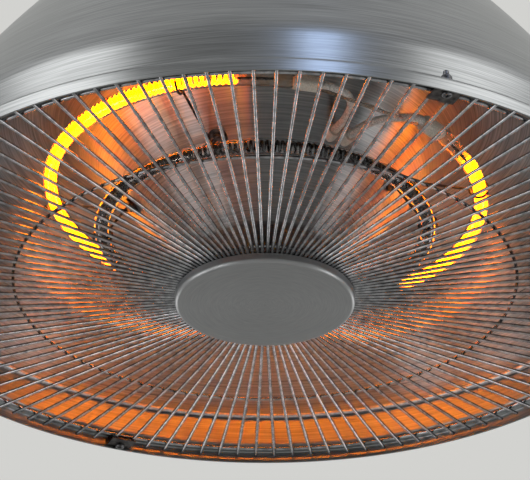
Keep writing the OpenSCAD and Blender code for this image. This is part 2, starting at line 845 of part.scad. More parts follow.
// Terminal block on the box's floor, with one way for each lead

ways = [for (i = [0 : 3]) way_y(i)];

module terminal_block() color("ivory") at_crown() translate([terminal_x, 0, floor_z]) difference() {
  linear_extrude(terminal_size.z) rounded(terminal_size.x, terminal_size.y, 1);
  for (y = ways) translate([0, y, terminal_size.z / 2]) {
    rotate([0, 90, 0]) cylinder(h = terminal_size.x + 2, d = 3.4, center = true);
    cylinder(h = terminal_size.z, d = 3.4);
  }
}

module terminal_screws() color("gray") at_crown() for (y = ways) {
  translate([terminal_x, y, floor_z + terminal_size.z / 2 + 2.4]) cylinder(h = 3.6, d = 3.3);
}

// Rocker switches, drawn with +Z out of the wall and X upright

module switch_body() difference() {
  union() {
    linear_extrude(bezel_t) rounded(switch_bezel.y, switch_bezel.x, 1.5);
    translate([0, 0, -switch_depth]) linear_extrude(switch_depth) {
      square([switch_cut.y, switch_cut.x], center = true);
    }
    for (x = [-5, 2]) translate([x, 0, -switch_depth - 8]) {
      linear_extrude(9) square([4.8, 0.8], center = true);
    }
  }
  translate([0, 0, -7]) linear_extrude(bezel_t + 8) {
    square([2 * (rocker_r + rocker_gap), rocker_w + 2 * rocker_gap], center = true);
  }
  rotate([90, 0, 0]) {
    cylinder(h = rocker_w + 2 * rocker_pin_l + 2 * rocker_gap, d = rocker_pin_d + 2 * pin_gap, center = true);
  }
}

// The rocker's two faces each lean by half its travel
module rocker(lean) rotate([0, lean, 0]) {
  intersection() {
    rotate([90, 0, 0]) cylinder(h = rocker_w, r = rocker_r, center = true);
    translate([0, rocker_w / 2 + 1, 0]) rotate([90, 0, 0]) linear_extrude(rocker_w + 2) {
      polygon([
        [0, rocker_rise],
        [rocker_r, rocker_rise + rocker_r * tan(rocker_travel / 2)],
        [rocker_r, -4],
        [-rocker_r, -4],
        [-rocker_r, rocker_rise + rocker_r * tan(rocker_travel / 2)]
      ]);
    }
  }
  rotate([90, 0, 0]) cylinder(h = rocker_w + 2 * rocker_pin_l, d = rocker_pin_d, center = true);
}

module outer_switch_body() color("black") at_crown() at_switch(switch_y) switch_body();
module inner_switch_body() color("black") at_crown() at_switch(-switch_y) switch_body();
module outer_rocker() color("black") at_crown() at_switch(switch_y) rocker(rocker_travel / 2);
module inner_rocker() color("black") at_crown() at_switch(-switch_y) rocker(-rocker_travel / 2);

// Elements

// Hollow tube between two angles, its last few degrees closed and pinched flat
module quartz_tube(ring_r, ends, cap_angles, signs) {
  span = ends[1] - ends[0];
  difference() {
    rotate([0, 0, ends[0]]) rotate_extrude(angle = span) translate([ring_r, 0]) circle(tube_d / 2);
    rotate([0, 0, ends[0] + plug_angle]) rotate_extrude(angle = span - 2 * plug_angle) {
      translate([ring_r, 0]) circle(tube_d / 2 - tube_wall);
    }
  }
  at_caps(ring_r, cap_angles, signs) translate([-pinch_w / 2, -cap_l / 2 - 2, -pinch_t / 2]) {
    cube([pinch_w, pinch_l + 2, pinch_t]);
  }
}

module end_caps(ring_r, angles, signs) at_caps(ring_r, angles, signs) difference() {
  translate([0, cap_l / 2, 0]) rotate([90, 0, 0]) linear_extrude(cap_l) rounded(cap_w, cap_h, cap_r);
  translate([-pinch_w / 2 - sleeve_gap, -cap_l / 2 - 1, -pinch_t / 2 - sleeve_gap]) {
    cube([pinch_w + 2 * sleeve_gap, pinch_l + 1.2, pinch_t + 2 * sleeve_gap]);
  }
  translate([0, cap_l / 2 + 1, 0]) rotate([90, 0, 0]) {
    cylinder(h = cap_l / 2 - 3, d = sleeve_d + 2 * sleeve_gap);
  }
}

module outer_quartz_tube() color("orange") at_rim() outer_frame() {
  quartz_tube(outer_ring_r, outer_ends, outer_cap_angles, [1, -1]);
}

module inner_quartz_tube() color("lightblue") at_rim() inner_frame() {
  quartz_tube(inner_ring_r, inner_ends, inner_cap_angles, [-1, 1]);
}

module outer_filament() color("yellow") at_rim() outer_frame() {
  tube(outer_path, filament_wire_r, 6, [0, 0, 1]);
}

module inner_filament() color("dimgray") at_rim() inner_frame() {
  tube(inner_path, filament_wire_r, 6, [0, 0, 1]);
}

module outer_end_caps() color("ivory") at_rim() outer_frame() {
  end_caps(outer_ring_r, outer_cap_angles, [1, -1]);
}

module inner_end_caps() color("ivory") at_rim() inner_frame() {
  end_caps(inner_ring_r, inner_cap_angles, [-1, 1]);
}

module outer_lead_sleeves() color("white") at_rim() {
  for (p = outer_leads) tube(smooth(p, 2), sleeve_d / 2, 8, [0, 0, 1]);
}

module inner_lead_sleeves() color("white") at_rim() {
  for (p = inner_leads) tube(smooth(p, 2), sleeve_d / 2, 8, [0, 0, 1]);
}

// Wire brackets that hold both elements on the cone

// Open loop round a tube at c, with the arm that carries it from the point foot
module loop_and_arm(c, foot) {
  v = foot - c;
  a = atan2(v.z, v.x);
  translate(c) rotate([90, 0, 0]) rotate([0, 0, a - (360 - loop_open) / 2]) {
    rotate_extrude(angle = 360 - loop_open, $fn = 48) translate([loop_r, 0]) circle(wire_r, $fn = 24);
  }
  bar(c + loop_r * unit([v.x, 0, v.z]), foot, wire_r);
}

function outer_hold(a) = [
  outer_ring_r * cos(outer_slope(a)),
  0,
  outer_ring_z + outer_ring_r * sin(outer_slope(a))
];

// Middle of a bracket's foot, turned from its loops by an angle
function foot_point(turn) =
  polar(turn, bracket_r, cone_z(bracket_r))
  + foot_eye_t / 2 * polar(turn, sin(cone_angle), -cos(cone_angle));

module bracket(a, turn) rotate([0, 0, a]) {
  arm = arm_offset * tangent(turn);
  loop_and_arm([inner_ring_r, arm_offset, inner_ring_z], foot_point(turn) + arm);
  loop_and_arm(outer_hold(a) - [0, arm_offset, 0], foot_point(turn) - arm);
  rotate([0, 0, turn]) on_cone(bracket_r) washer(
    2 * bracket_eye_r, bracket_screw_d + 2 * hole_gap, foot_eye_t
  );
}

module element_brackets() color("silver") at_rim() {
  for (i = [0 : 3]) bracket(bracket_angles[i], bracket_turns[i]);
}

module bracket_screws() color("dimgray") at_rim() around(bracket_feet) on_cone(bracket_r) {
  translate([0, 0, foot_eye_t]) rotate([180, 0, 0]) pan_screw(bracket_screw_d, 8);
}

// Guard

module guard_rods() color("lightgray") at_rim() {
  for (i = [0 : rod_count - 1]) rotate([0, 0, 360 * (i + 0.5) / rod_count]) {
    bar([rod_in_r, 0, rod_in_z], [rod_out_r, 0, rod_z(rod_out_r)], rod_r);
  }
}

module guard_outer_ring() color("lightgray") at_rim() {
  ring(edge_ring_r, edge_wire_r, rod_z(edge_ring_r) + rod_r + edge_wire_r + seat_gap);
}

module guard_middle_ring() color("lightgray") at_rim() {
  ring(mid_ring_r, mid_wire_r, rod_z(mid_ring_r) + rod_r + mid_wire_r + seat_gap);
}

module guard_hub_ring() color("lightgray") at_rim() {
  ring(hub_ring_r, mid_wire_r, rod_z(hub_ring_r) + rod_r + mid_wire_r + seat_gap);
}

hub_bend = 3;

module hub_disc() color("silver") at_rim() rotate_extrude() {
  polygon(sheet(
    concat(
      [[0, hub_top - hub_h]],
      arc([hub_r - hub_bend, hub_top - hub_h + hub_bend], hub_bend, 270, 360, 5),
      [[hub_r, hub_top]]
    ),
    hub_t
  ));
}

module hub_backplate() color("lightgray") at_rim() translate([0, 0, backplate_z]) {
  washer(2 * backplate_r, stud_d + 2 * hole_gap, backplate_t);
}

stud_bottom = hub_top - hub_h + hub_t;
stud_top = flat_h + foot_t + 12;

module hub_stud() color("gray") at_rim() translate([0, 0, stud_bottom]) {
  cylinder(h = 2, d = 20);
  cylinder(h = stud_top - stud_bottom, d = stud_d);
}

hub_nut_h = 5;

module hub_nuts() color("gray") at_rim() for (z = [backplate_z + backplate_t, flat_h + foot_t]) {
  translate([0, 0, z]) difference() {
    hexagon(13, hub_nut_h);
    translate([0, 0, -1]) cylinder(h = hub_nut_h + 2, d = stud_d + 2 * thread_gap);
  }
}

spacer_z = backplate_z + backplate_t + hub_nut_h;

module hub_spacer() color("gray") at_rim() translate([0, 0, spacer_z]) {
  washer(14, stud_d + 2 * hole_gap, flat_h - reflector_t - spacer_z);
}

// Clips that carry the guard's rods under the flange

module guard_clips() color("silver") at_rim() around(clip_angles) difference() {
  translate([0, clip_w / 2, 0]) rotate([90, 0, 0]) linear_extrude(clip_w) {
    polygon(sheet(
      concat(
        [[clip_in_r, clip_z - clip_t]],
        arc([clip_out_r - 1.5, clip_z - clip_t + 1.5], 1.5, 270, 360, 3),
        [[clip_out_r, flange_z - dome_t - seat_gap]]
      ),
      clip_t
    ));
  }
  translate([clip_screw_r, 0, clip_z - 5]) cylinder(h = 10, d = clip_screw_d + 2 * hole_gap);
}

clip_screw_l = flange_z + nut_washer_t + 5 - clip_z + clip_t;

module clip_screws() color("dimgray") at_rim() around(clip_angles) {
  translate([clip_screw_r, 0, clip_z - clip_t]) pan_screw(clip_screw_d, clip_screw_l);
}

module clip_washers() color("gray") at_rim() around(clip_angles) {
  translate([clip_screw_r, 0, flange_z]) washer(8.8, clip_screw_d + 2 * hole_gap, nut_washer_t);
}

module acorn_nuts() color("dimgray") at_rim() around(clip_angles) {
  translate([clip_screw_r, 0, flange_z + nut_washer_t]) difference() {
    union() {
      hexagon(nut_af, 3.2);
      intersection() {
        translate([0, 0, nut_h - nut_af / 2]) sphere(d = nut_af - 0.4);
        translate([0, 0, nut_h - nut_af / 2]) cylinder(h = nut_af, d = nut_af);
      }
      cylinder(h = nut_h - nut_af / 2, d = nut_af - 0.4);
    }
    translate([0, 0, -1]) cylinder(h = 6.5, d = clip_screw_d + 2 * thread_gap);
  }
}

dome_shell();
reflector();
reflector_screws();
carrier_foot_plate();
carrier_tube();
carrier_top_plate();
crown_gasket();
crown_bolts();
crown_nuts();
crown_bushes();
switch_box();
lid_seal();
box_lid();
lid_screws();
hanging_eye();
eye_washers();
eye_nuts();
cable_gland();
gland_seal();
gland_cap();
gland_locknut();
terminal_block();
terminal_screws();
outer_switch_body();
inner_switch_body();
outer_rocker();
inner_rocker();
outer_quartz_tube();
outer_filament();
outer_end_caps();
outer_lead_sleeves();
inner_quartz_tube();
inner_filament();
inner_end_caps();
inner_lead_sleeves();
lead_bushes();
element_brackets();
bracket_screws();
guard_rods();
guard_outer_ring();
guard_middle_ring();
guard_hub_ring();
hub_disc();
hub_backplate();
hub_stud();
hub_nuts();
hub_spacer();
guard_clips();
clip_screws();
clip_washers();
acorn_nuts();
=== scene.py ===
"""Ceiling-hung mushroom patio heater, seen from below and in front."""
from math import acos, asin, atan, cos, degrees, hypot, pi, radians, sin, tan

import bpy
from mathutils import Matrix, Vector


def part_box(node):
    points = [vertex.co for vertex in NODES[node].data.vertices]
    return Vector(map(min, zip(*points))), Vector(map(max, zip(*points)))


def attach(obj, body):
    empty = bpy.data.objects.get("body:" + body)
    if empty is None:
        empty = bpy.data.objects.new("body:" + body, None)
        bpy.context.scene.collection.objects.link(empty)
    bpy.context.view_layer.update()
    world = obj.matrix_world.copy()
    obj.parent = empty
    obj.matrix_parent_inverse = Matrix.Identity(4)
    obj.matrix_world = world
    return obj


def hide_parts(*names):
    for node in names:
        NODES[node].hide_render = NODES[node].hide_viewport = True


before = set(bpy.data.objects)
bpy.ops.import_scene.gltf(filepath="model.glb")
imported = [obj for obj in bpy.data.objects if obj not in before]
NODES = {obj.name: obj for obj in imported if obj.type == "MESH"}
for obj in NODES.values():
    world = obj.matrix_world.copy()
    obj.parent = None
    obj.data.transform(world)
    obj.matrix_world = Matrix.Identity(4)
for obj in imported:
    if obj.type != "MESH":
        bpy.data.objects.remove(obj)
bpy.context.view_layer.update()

MM = 0.001
LIP_DROP = 3.0
# Heights in metres of the rim's datum, which is that much above the lip's edge, and of the crown's top
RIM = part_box("dome_shell")[0].z + LIP_DROP * MM
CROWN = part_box("dome_shell")[1].z
# Steps of a full turn on the lathe, and the angle in degrees from which an edge stays sharp
STEPS = 256
SHARP = 35


# Profiles, in mm from the rim's datum

def arc(centre, radius, start, end, count):
    """Points of an arc from one angle to another, in degrees."""
    turn = [radians(start + (end - start) * i / count) for i in range(count + 1)]
    return [(centre[0] + radius * cos(a), centre[1] + radius * sin(a)) for a in turn]


def left(a, b):
    """Left-hand normal of the stretch from a to b."""
    length = hypot(b[0] - a[0], b[1] - a[1])
    return (a[1] - b[1]) / length, (b[0] - a[0]) / length


def moved_left(points, i, by):
    """A point moved to the left of its profile, mitred between its neighbours."""
    last = len(points) - 1
    n1 = left(points[max(i - 1, 0)], points[max(i, 1)])
    n2 = left(points[min(i, last - 1)], points[min(i + 1, last)])
    k = by / (1 + n1[0] * n2[0] + n1[1] * n2[1])
    return points[i][0] + k * (n1[0] + n2[0]), points[i][1] + k * (n1[1] + n2[1])


def sheet(points, thickness):
    """Closed outline of a sheet whose outer side follows the points."""
    inner = [moved_left(points, i, thickness) for i in range(len(points))]
    return points + inner[::-1]


# Making pieces

def start(op, **settings):
    """Add a primitive with nothing else selected, and return it with its place in its mesh."""
    bpy.ops.object.select_all(action="DESELECT")
    op(**settings)
    made = bpy.context.object
    bpy.ops.object.transform_apply(location=True, rotation=True, scale=True)
    return made


def edit():
    """Go into edit mode with the whole piece selected."""
    bpy.ops.object.mode_set(mode="EDIT")
    bpy.ops.mesh.select_all(action="SELECT")


def done():
    """Go back to object mode."""
    bpy.ops.object.mode_set(mode="OBJECT")


def only(piece):
    """Make a piece the only one selected."""
    bpy.ops.object.select_all(action="DESELECT")
    piece.select_set(True)
    bpy.context.view_layer.objects.active = piece


def smoothed(piece):
    """Smooth all but the sharp edges."""
    only(piece)
    bpy.ops.object.shade_smooth_by_angle(angle=radians(SHARP))
    return piece


def named(piece, name):
    """Name a piece and its mesh."""
    piece.name = piece.data.name = name
    return piece


def drawn(points):
    """Draw a chain of edges, each point drawn out to the next in the XZ plane, and stay in edit mode."""
    (x, z), *rest = points
    piece = start(bpy.ops.mesh.primitive_plane_add, size=MM, location=(x, 0, z))
    edit()
    bpy.ops.mesh.merge(type="CENTER")
    for u, v in rest:
        bpy.ops.mesh.extrude_region_move(TRANSFORM_OT_translate={"value": (u - x, 0, v - z)})
        x, z = u, v
    return piece


def turned(name, outline, base=RIM, steps=STEPS):
    """Spin a closed outline of (radius, height) in mm round the axis, as on a lathe."""
    points = [(r * MM, base + z * MM) for r, z in outline]
    piece = drawn(points + points[:1])
    bpy.ops.mesh.select_all(action="SELECT")
    bpy.ops.mesh.spin(steps=steps, angle=2 * pi, center=(0, 0, 0), axis=(0, 0, 1))
    return closed_up(piece, name)


def closed_up(piece, name):
    """From edit mode, merge what meets, turn the faces outwards, then smooth and name the piece."""
    bpy.ops.mesh.select_all(action="SELECT")
    bpy.ops.mesh.remove_doubles(threshold=0.01 * MM)
    bpy.ops.mesh.select_all(action="SELECT")
    bpy.ops.mesh.normals_make_consistent(inside=False)
    done()
    return named(smoothed(piece), name)


def moved(piece, matrix):
    """Put a matrix into a piece's mesh, so that its object stays at the origin."""
    piece.data.transform(matrix)
    if matrix.determinant() < 0:
        piece.data.flip_normals()
    piece.data.update()
    return piece


def copied(piece, matrices, name):
    """Copies of a piece at each place, joined into one piece, and the pattern removed."""
    copies = []
    for matrix in matrices:
        copy = piece.copy()
        copy.data = piece.data.copy()
        bpy.context.scene.collection.objects.link(copy)
        copies.append(moved(copy, matrix))
    bpy.data.objects.remove(piece)
    return joined(copies, name)


def joined(pieces, name):
    """Join pieces into the first one."""
    only(pieces[0])
    for piece in pieces:
        piece.select_set(True)
    bpy.ops.object.join()
    return named(pieces[0], name)


def modified(piece, kind, **settings):
    """Add a modifier and apply it."""
    only(piece)
    modifier = piece.modifiers.new(kind.title(), kind)
    for key, value in settings.items():
        setattr(modifier, key, value)
    bpy.ops.object.modifier_apply(modifier=modifier.name)
    return piece


def select(piece, kind, test):
    """In edit mode, select the edges or faces that pass a test."""
    bpy.ops.mesh.select_all(action="DESELECT")
    bpy.ops.mesh.select_mode(type=kind)
    done()
    for part in {"EDGE": piece.data.edges, "FACE": piece.data.polygons}[kind]:
        part.select = test(part)
    bpy.ops.object.mode_set(mode="EDIT")


def bevel_edges(piece, test, width, segments):
    """Round the edges whose two ends pass a test."""
    edit()
    select(piece, "EDGE", lambda edge: test(*(piece.data.vertices[i].co for i in edge.vertices)))
    bpy.ops.mesh.bevel(offset=width, segments=segments, affect="EDGES")
    done()


def block(size, place, upright_r, edge_r):
    """A block with rounded upright edges and softened top and bottom edges, centred on place."""
    piece = start(bpy.ops.mesh.primitive_cube_add, size=1)
    moved(piece, Matrix.Diagonal((*size, 1)))
    bevel_edges(piece, lambda a, b: abs(a.z - b.z) > 0.9 * size[2], upright_r, 8)
    half = size[2] / 2
    bevel_edges(piece, lambda a, b: abs(abs(a.z) - half) + abs(abs(b.z) - half) < 0.01 * MM, edge_r, 3)
    return moved(piece, Matrix.Translation(place))


def worn(piece, body, material, slot, *replaced):
    """Give a piece its finish, let it ride on its body and stand for its CAD nodes."""
    piece.data.materials.clear()
    piece.data.materials.append(material)
    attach(piece, body)
    if replaced:
        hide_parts(*replaced)
    return piece


# Materials

def colour(text):
    """An sRGB hex colour as Blender's linear values."""
    parts = [int(text[i:i + 2], 16) / 255 for i in (0, 2, 4)]
    return [c / 12.92 if c <= 0.04045 else ((c + 0.055) / 1.055) ** 2.4 for c in parts] + [1.0]


def add(tree, kind, values=None, links=None, **settings):
    """Add a node with its settings, its sockets' values and its links."""
    made = tree.nodes.new(kind)
    for key, value in settings.items():
        setattr(made, key, value)
    for key, value in (values or {}).items():
        made.inputs[key].default_value = value
    for key, source in (links or {}).items():
        tree.links.new(source, made.inputs[key])
    return made


def new_material(name):
    """A material with its tree and its shader."""
    material = bpy.data.materials.new(name)
    material.use_nodes = True
    tree = material.node_tree
    return material, tree, tree.nodes["Principled BSDF"]


def mottled(tree, scale_mm, detail, dark, light, low=0.35, high=0.65):
    """Noise of a real size, ramped between two colours."""
    place = add(tree, "ShaderNodeTexCoord").outputs["Object"]
    noise = add(tree, "ShaderNodeTexNoise", {"Scale": 1 / (scale_mm * MM), "Detail": detail},
                {"Vector": place})
    ramp = add(tree, "ShaderNodeValToRGB", links={"Fac": noise.outputs["Fac"]})
    ramp.color_ramp.elements[0].position, ramp.color_ramp.elements[1].position = low, high
    ramp.color_ramp.elements[0].color, ramp.color_ramp.elements[1].color = colour(dark), colour(light)
    return noise, ramp


def worked(tree, shader, pattern, rough, bump_mm, strength):
    """Let a surface's pattern set its gloss and its height."""
    spread = add(tree, "ShaderNodeMapRange", {"To Min": rough[0], "To Max": rough[1]},
                 {"Value": pattern})
    bump = add(tree, "ShaderNodeBump", {"Strength": strength, "Distance": bump_mm * MM},
               {"Height": pattern})
    tree.links.new(spread.outputs["Result"], shader.inputs["Roughness"])
    tree.links.new(bump.outputs["Normal"], shader.inputs["Normal"])


def turned_metal(name, dark, light, rough, line_mm, streak, bump_mm, anisotropy):
    """Sheet spun or brushed on a lathe: lines round the axis, each about 1 / (6 streak) of a turn long."""
    material, tree, shader = new_material(name)
    place = add(tree, "ShaderNodeTexCoord").outputs["Object"]
    parts = add(tree, "ShaderNodeSeparateXYZ", links={"Vector": place})
    flat = add(tree, "ShaderNodeCombineXYZ", links={"X": parts.outputs["X"], "Y": parts.outputs["Y"]})
    radius = add(tree, "ShaderNodeVectorMath", links={0: flat.outputs[0]}, operation="LENGTH")
    around = add(tree, "ShaderNodeVectorMath", links={0: flat.outputs[0]}, operation="NORMALIZE")
    turn = add(tree, "ShaderNodeSeparateXYZ", links={"Vector": around.outputs["Vector"]})

    def scaled(source, by):
        return add(tree, "ShaderNodeMath", {1: by}, {0: source}, operation="MULTIPLY").outputs[0]

    across = add(tree, "ShaderNodeCombineXYZ", links={
        "X": scaled(radius.outputs["Value"], 1 / (line_mm * MM)),
        "Y": scaled(parts.outputs["Z"], 1 / (line_mm * MM)),
        "Z": scaled(turn.outputs["X"], streak)})
    lines = add(tree, "ShaderNodeTexNoise", {"Scale": 1.0, "Detail": 3.0, "Roughness": 0.6},
                {"Vector": across.outputs[0], "W": scaled(turn.outputs["Y"], streak)},
                noise_dimensions="4D")
    ramp = add(tree, "ShaderNodeValToRGB", links={"Fac": lines.outputs["Fac"]})
    ramp.color_ramp.elements[0].position, ramp.color_ramp.elements[1].position = 0.3, 0.7
    ramp.color_ramp.elements[0].color, ramp.color_ramp.elements[1].color = colour(dark), colour(light)
    tree.links.new(ramp.outputs["Color"], shader.inputs["Base Color"])
    shader.inputs["Metallic"].default_value = 1.0
    shader.inputs["Anisotropic"].default_value = anisotropy
    shader.inputs["Anisotropic Rotation"].default_value = 0.25
    tangent = add(tree, "ShaderNodeTangent", direction_type="RADIAL", axis="Z")
    tree.links.new(tangent.outputs["Tangent"], shader.inputs["Tangent"])
    worked(tree, shader, lines.outputs["Fac"], rough, bump_mm, strength=0.6)
    return material


def grained(name, dark, light, rough, grain_mm, detail, bump_mm, strength):
    """A surface whose grain shows in its colour, its gloss and its height."""
    material, tree, shader = new_material(name)
    noise, ramp = mottled(tree, grain_mm, detail, dark, light)
    tree.links.new(ramp.outputs["Color"], shader.inputs["Base Color"])
    worked(tree, shader, noise.outputs["Fac"], rough, bump_mm, strength)
    return material, shader


def plain_metal(name, dark, light, rough, grain_mm, bump_mm):
    """Drawn, plated or cast metal with a little handling wear."""
    material, shader = grained(name, dark, light, rough, grain_mm, detail=4.0, bump_mm=bump_mm,
                               strength=0.5)
    shader.inputs["Metallic"].default_value = 1.0
    return material


def moulded(name, dark, light, rough, grain_mm, bump_mm, ior):
    """Moulded, pressed or braided stuff: plastic, rubber, ceramic or fibre, with its grain."""
    material, shader = grained(name, dark, light, rough, grain_mm, detail=3.0, bump_mm=bump_mm,
                               strength=0.6)
    shader.inputs["IOR"].default_value = ior
    return material


def quartz(name, tint):
    """Fused quartz: clear, a little streaky from drawing; light goes through it to the reflector."""
    material, tree, shader = new_material(name)
    _, ramp = mottled(tree, scale_mm=9, detail=2.0, dark=tint, light="FFFFFF")
    tree.links.new(ramp.outputs["Color"], shader.inputs["Base Color"])
    shader.inputs["IOR"].default_value = 1.458
    shader.inputs["Transmission Weight"].default_value = 1.0
    shader.inputs["Roughness"].default_value = 0.02
    clear = add(tree, "ShaderNodeBsdfTransparent", {"Color": colour(tint)})
    path = add(tree, "ShaderNodeLightPath")
    mix = add(tree, "ShaderNodeMixShader", links={
        "Fac": path.outputs["Is Shadow Ray"], 1: shader.outputs[0], 2: clear.outputs[0]})
    tree.links.new(mix.outputs[0], tree.nodes["Material Output"].inputs["Surface"])
    return material


def hot_wire(name, deep, bright, strength):
    """Resistance wire at red to yellow heat, a little uneven along its length."""
    material, tree, shader = new_material(name)
    _, ramp = mottled(tree, scale_mm=14, detail=1.0, dark=deep, light=bright, low=0.3, high=0.55)
    tree.links.new(ramp.outputs["Color"], shader.inputs["Emission Color"])
    shader.inputs["Base Color"].default_value = colour("3A1C08")
    shader.inputs["Roughness"].default_value = 0.6
    shader.inputs["Emission Strength"].default_value = strength
    return material


# Stainless sheet spun on a lathe: lines round the axis draw each lamp out into a bright fan. The real lines
# are finer than a pixel, so these are drawn coarser, to show
dome_steel = turned_metal("Spun stainless steel", "7E8080", "A9ABAB", rough=(0.26, 0.40), line_mm=0.9,
                          streak=5, bump_mm=0.02, anisotropy=0.6)
# Brushed aluminium: its lines smear the lit coil's reflection towards the hub and the rim. These lines too
# are drawn coarser than the real ones
reflector_sheet = turned_metal("Brushed aluminium", "727475", "AAACAC", rough=(0.18, 0.50), line_mm=1.1,
                               streak=1.8, bump_mm=0.01, anisotropy=1.0)
# The same sheet where it is rolled over a wire: stretched and burnished, and drawn much lighter than that
# alone would make it, which paints in the bright line along the bead
rolled_edge = plain_metal("Burnished aluminium with painted highlight", "B8B8BA", "D6D6D8", rough=(0.28, 0.40), grain_mm=3,
                          bump_mm=0.01)
# Pressed stainless steel with a satin lathe finish: an even grey with a soft sheen, its lines drawn coarser
# than the real ones
hub_steel = turned_metal("Satin stainless steel", "929394", "A2A3A4", rough=(0.34, 0.42), line_mm=0.6,
                         streak=3, bump_mm=0.004, anisotropy=0.5)
# Drawn and nickel-plated wire: smooth, so that each rod carries a bright line, with a dull bloom in places
guard_wire = plain_metal("Nickel-plated wire", "7A7B7D", "ACADAF", rough=(0.16, 0.28), grain_mm=6,
                         bump_mm=0.006)
# Spring wire that has been hot: a dark, brownish grey that hardly shines
bracket_wire = plain_metal("Heat-browned spring wire", "2E2B2A", "5E5A58", rough=(0.25, 0.45), grain_mm=4,
                           bump_mm=0.02)
# Blackened steel: near black, with lighter patches where tools and hands have worn it
screw_steel = plain_metal("Blackened screw steel", "3C3B3B", "77777A", rough=(0.22, 0.40), grain_mm=2,
                          bump_mm=0.01)
# Zinc plating: a light, slightly cloudy grey
zinc_steel = plain_metal("Zinc-plated steel", "8E9093", "BFC1C3", rough=(0.28, 0.45), grain_mm=5,
                         bump_mm=0.02)
# Turned brass: yellow and bright, with a little tarnish
brass = plain_metal("Machined brass", "A98A45", "D2B46A", rough=(0.2, 0.35), grain_mm=2, bump_mm=0.01)
# Moulded rubber: dull black that swallows light
black_rubber = moulded("EPDM rubber", "101010", "1E1E1E", rough=(0.6, 0.8), grain_mm=1.2, bump_mm=0.03,
                       ior=1.52)
# Moulded in a spark-eroded tool: black with a fine, matt grain
black_plastic = moulded("Polyamide", "15161A", "222327", rough=(0.42, 0.6), grain_mm=0.8, bump_mm=0.03,
                        ior=1.53)
# Moulded in a polished tool: black and glossy, so that a rocker's tilt shows in its highlight
rocker_plastic = moulded("Polished ABS", "0E0F11", "17181B", rough=(0.18, 0.28), grain_mm=1.5,
                         bump_mm=0.004, ior=1.53)
# Unglazed steatite: off-white, faintly speckled and dusty
ceramic = moulded("Steatite ceramic", "B9B3A6", "DDD8CC", rough=(0.55, 0.75), grain_mm=0.9, bump_mm=0.04,
                  ior=1.55)
# Braided glass-fibre sleeve: pale and a little silky, with the braid's bumps
sleeve_fibre = moulded("Braided glass fibre", "A09E98", "E2E0DA", rough=(0.45, 0.7), grain_mm=1.1,
                       bump_mm=0.25, ior=1.5)
# The same fused quartz twice: clear, with faint streaks; in the lit tube it is tinted warm, which paints in
# the coil's glow on the glass
lit_quartz = quartz("Quartz round the lit coil", "FFE2C4")
clear_quartz = quartz("Clear fused quartz", "F2F4F6")
# Iron-chromium wire at yellow heat: bright enough to light the reflector, cooler and redder in places
lit_wire = hot_wire("Glowing resistance wire", "FF4A00", "FF9000", strength=28.0)
# The same wire cold: dark oxide with a dull sheen
dark_wire = plain_metal("Oxidised resistance wire", "161413", "35312E", rough=(0.5, 0.7), grain_mm=3,
                        bump_mm=0.01)


# Dome and reflector

# Radii and heights in mm, and angles in degrees. A lean is the angle at which an arc of the dome's profile
# begins, counted up from level
RIM_R, LIP_BEND, LIP_STRAIGHT_Z, FLANGE_Z, SKIRT_R, SKIRT_TOP = 300.0, 2.4, 4.5, 7.6, 288.0, 33.0
KNUCKLE_R, DOME_R, SHOULDER_R, CROWN_R, CROWN_BEND, EYE_HOLE_R = 30.0, 701.0, 260.0, 78.0, 10.0, 5.3
DOME_LEAN, SHOULDER_LEAN, TROUGH_LEAN, CONE_ANGLE = 25.7, 41.5, 31.0, 48.0
DOME_T, REFLECTOR_T, WALL_OFF = 1.2, 0.8, 5.2
TROUGH_R, RIDGE_R, FLAT_Z, FLAT_BEND, STUD_HOLE_R = 86.5, 30.0, 23.2, 8.0, 4.3
BEAD_R, BEAD_GAP = 2.3, 0.4


def out_from(centre, distance, angle):
    """The point at a distance and an angle from a centre."""
    return centre[0] + distance * cos(radians(angle)), centre[1] + distance * sin(radians(angle))


knuckle_c = (SKIRT_R - KNUCKLE_R, SKIRT_TOP)
dome_c = out_from(knuckle_c, KNUCKLE_R - DOME_R, DOME_LEAN)
shoulder_c = out_from(dome_c, DOME_R - SHOULDER_R, SHOULDER_LEAN)
crown_lean = degrees(acos((CROWN_R - shoulder_c[0]) / SHOULDER_R))
crown_c = out_from(shoulder_c, SHOULDER_R - CROWN_BEND, crown_lean)
crown_z = crown_c[1] + CROWN_BEND
trough_c = out_from(dome_c, DOME_R - WALL_OFF - TROUGH_R, TROUGH_LEAN)
ridge_c = (trough_c[0], trough_c[1] + TROUGH_R - RIDGE_R)
ridge_end = out_from(ridge_c, RIDGE_R, 90 + CONE_ANGLE)
flat_r = ridge_end[0] - (ridge_end[1] - FLAT_Z) / tan(radians(CONE_ANGLE))
bead_c = (SKIRT_R - DOME_T - BEAD_GAP - BEAD_R, SKIRT_TOP)

# Where one arc goes on from another, it starts a little past its end, so that no two points meet
dome_side = (
    [(RIM_R, -LIP_DROP), (RIM_R, LIP_STRAIGHT_Z)]
    + arc((RIM_R - LIP_BEND, FLANGE_Z - LIP_BEND), LIP_BEND, 0, 90, 6)
    + arc((SKIRT_R + DOME_T, FLANGE_Z + DOME_T), DOME_T, 270, 180, 5)
    + arc(knuckle_c, KNUCKLE_R, 0, DOME_LEAN, 8)
    + arc(dome_c, DOME_R, DOME_LEAN + 0.5, SHOULDER_LEAN, 20)
    + arc(shoulder_c, SHOULDER_R, SHOULDER_LEAN + 1.5, crown_lean, 16)
    + arc(crown_c, CROWN_BEND, crown_lean + 6, 90, 5)
    + [(EYE_HOLE_R, crown_z)]
)
dome = turned("dome", sheet(dome_side, DOME_T))
worn(dome, "heater", dome_steel, "dome_steel", "dome_shell")

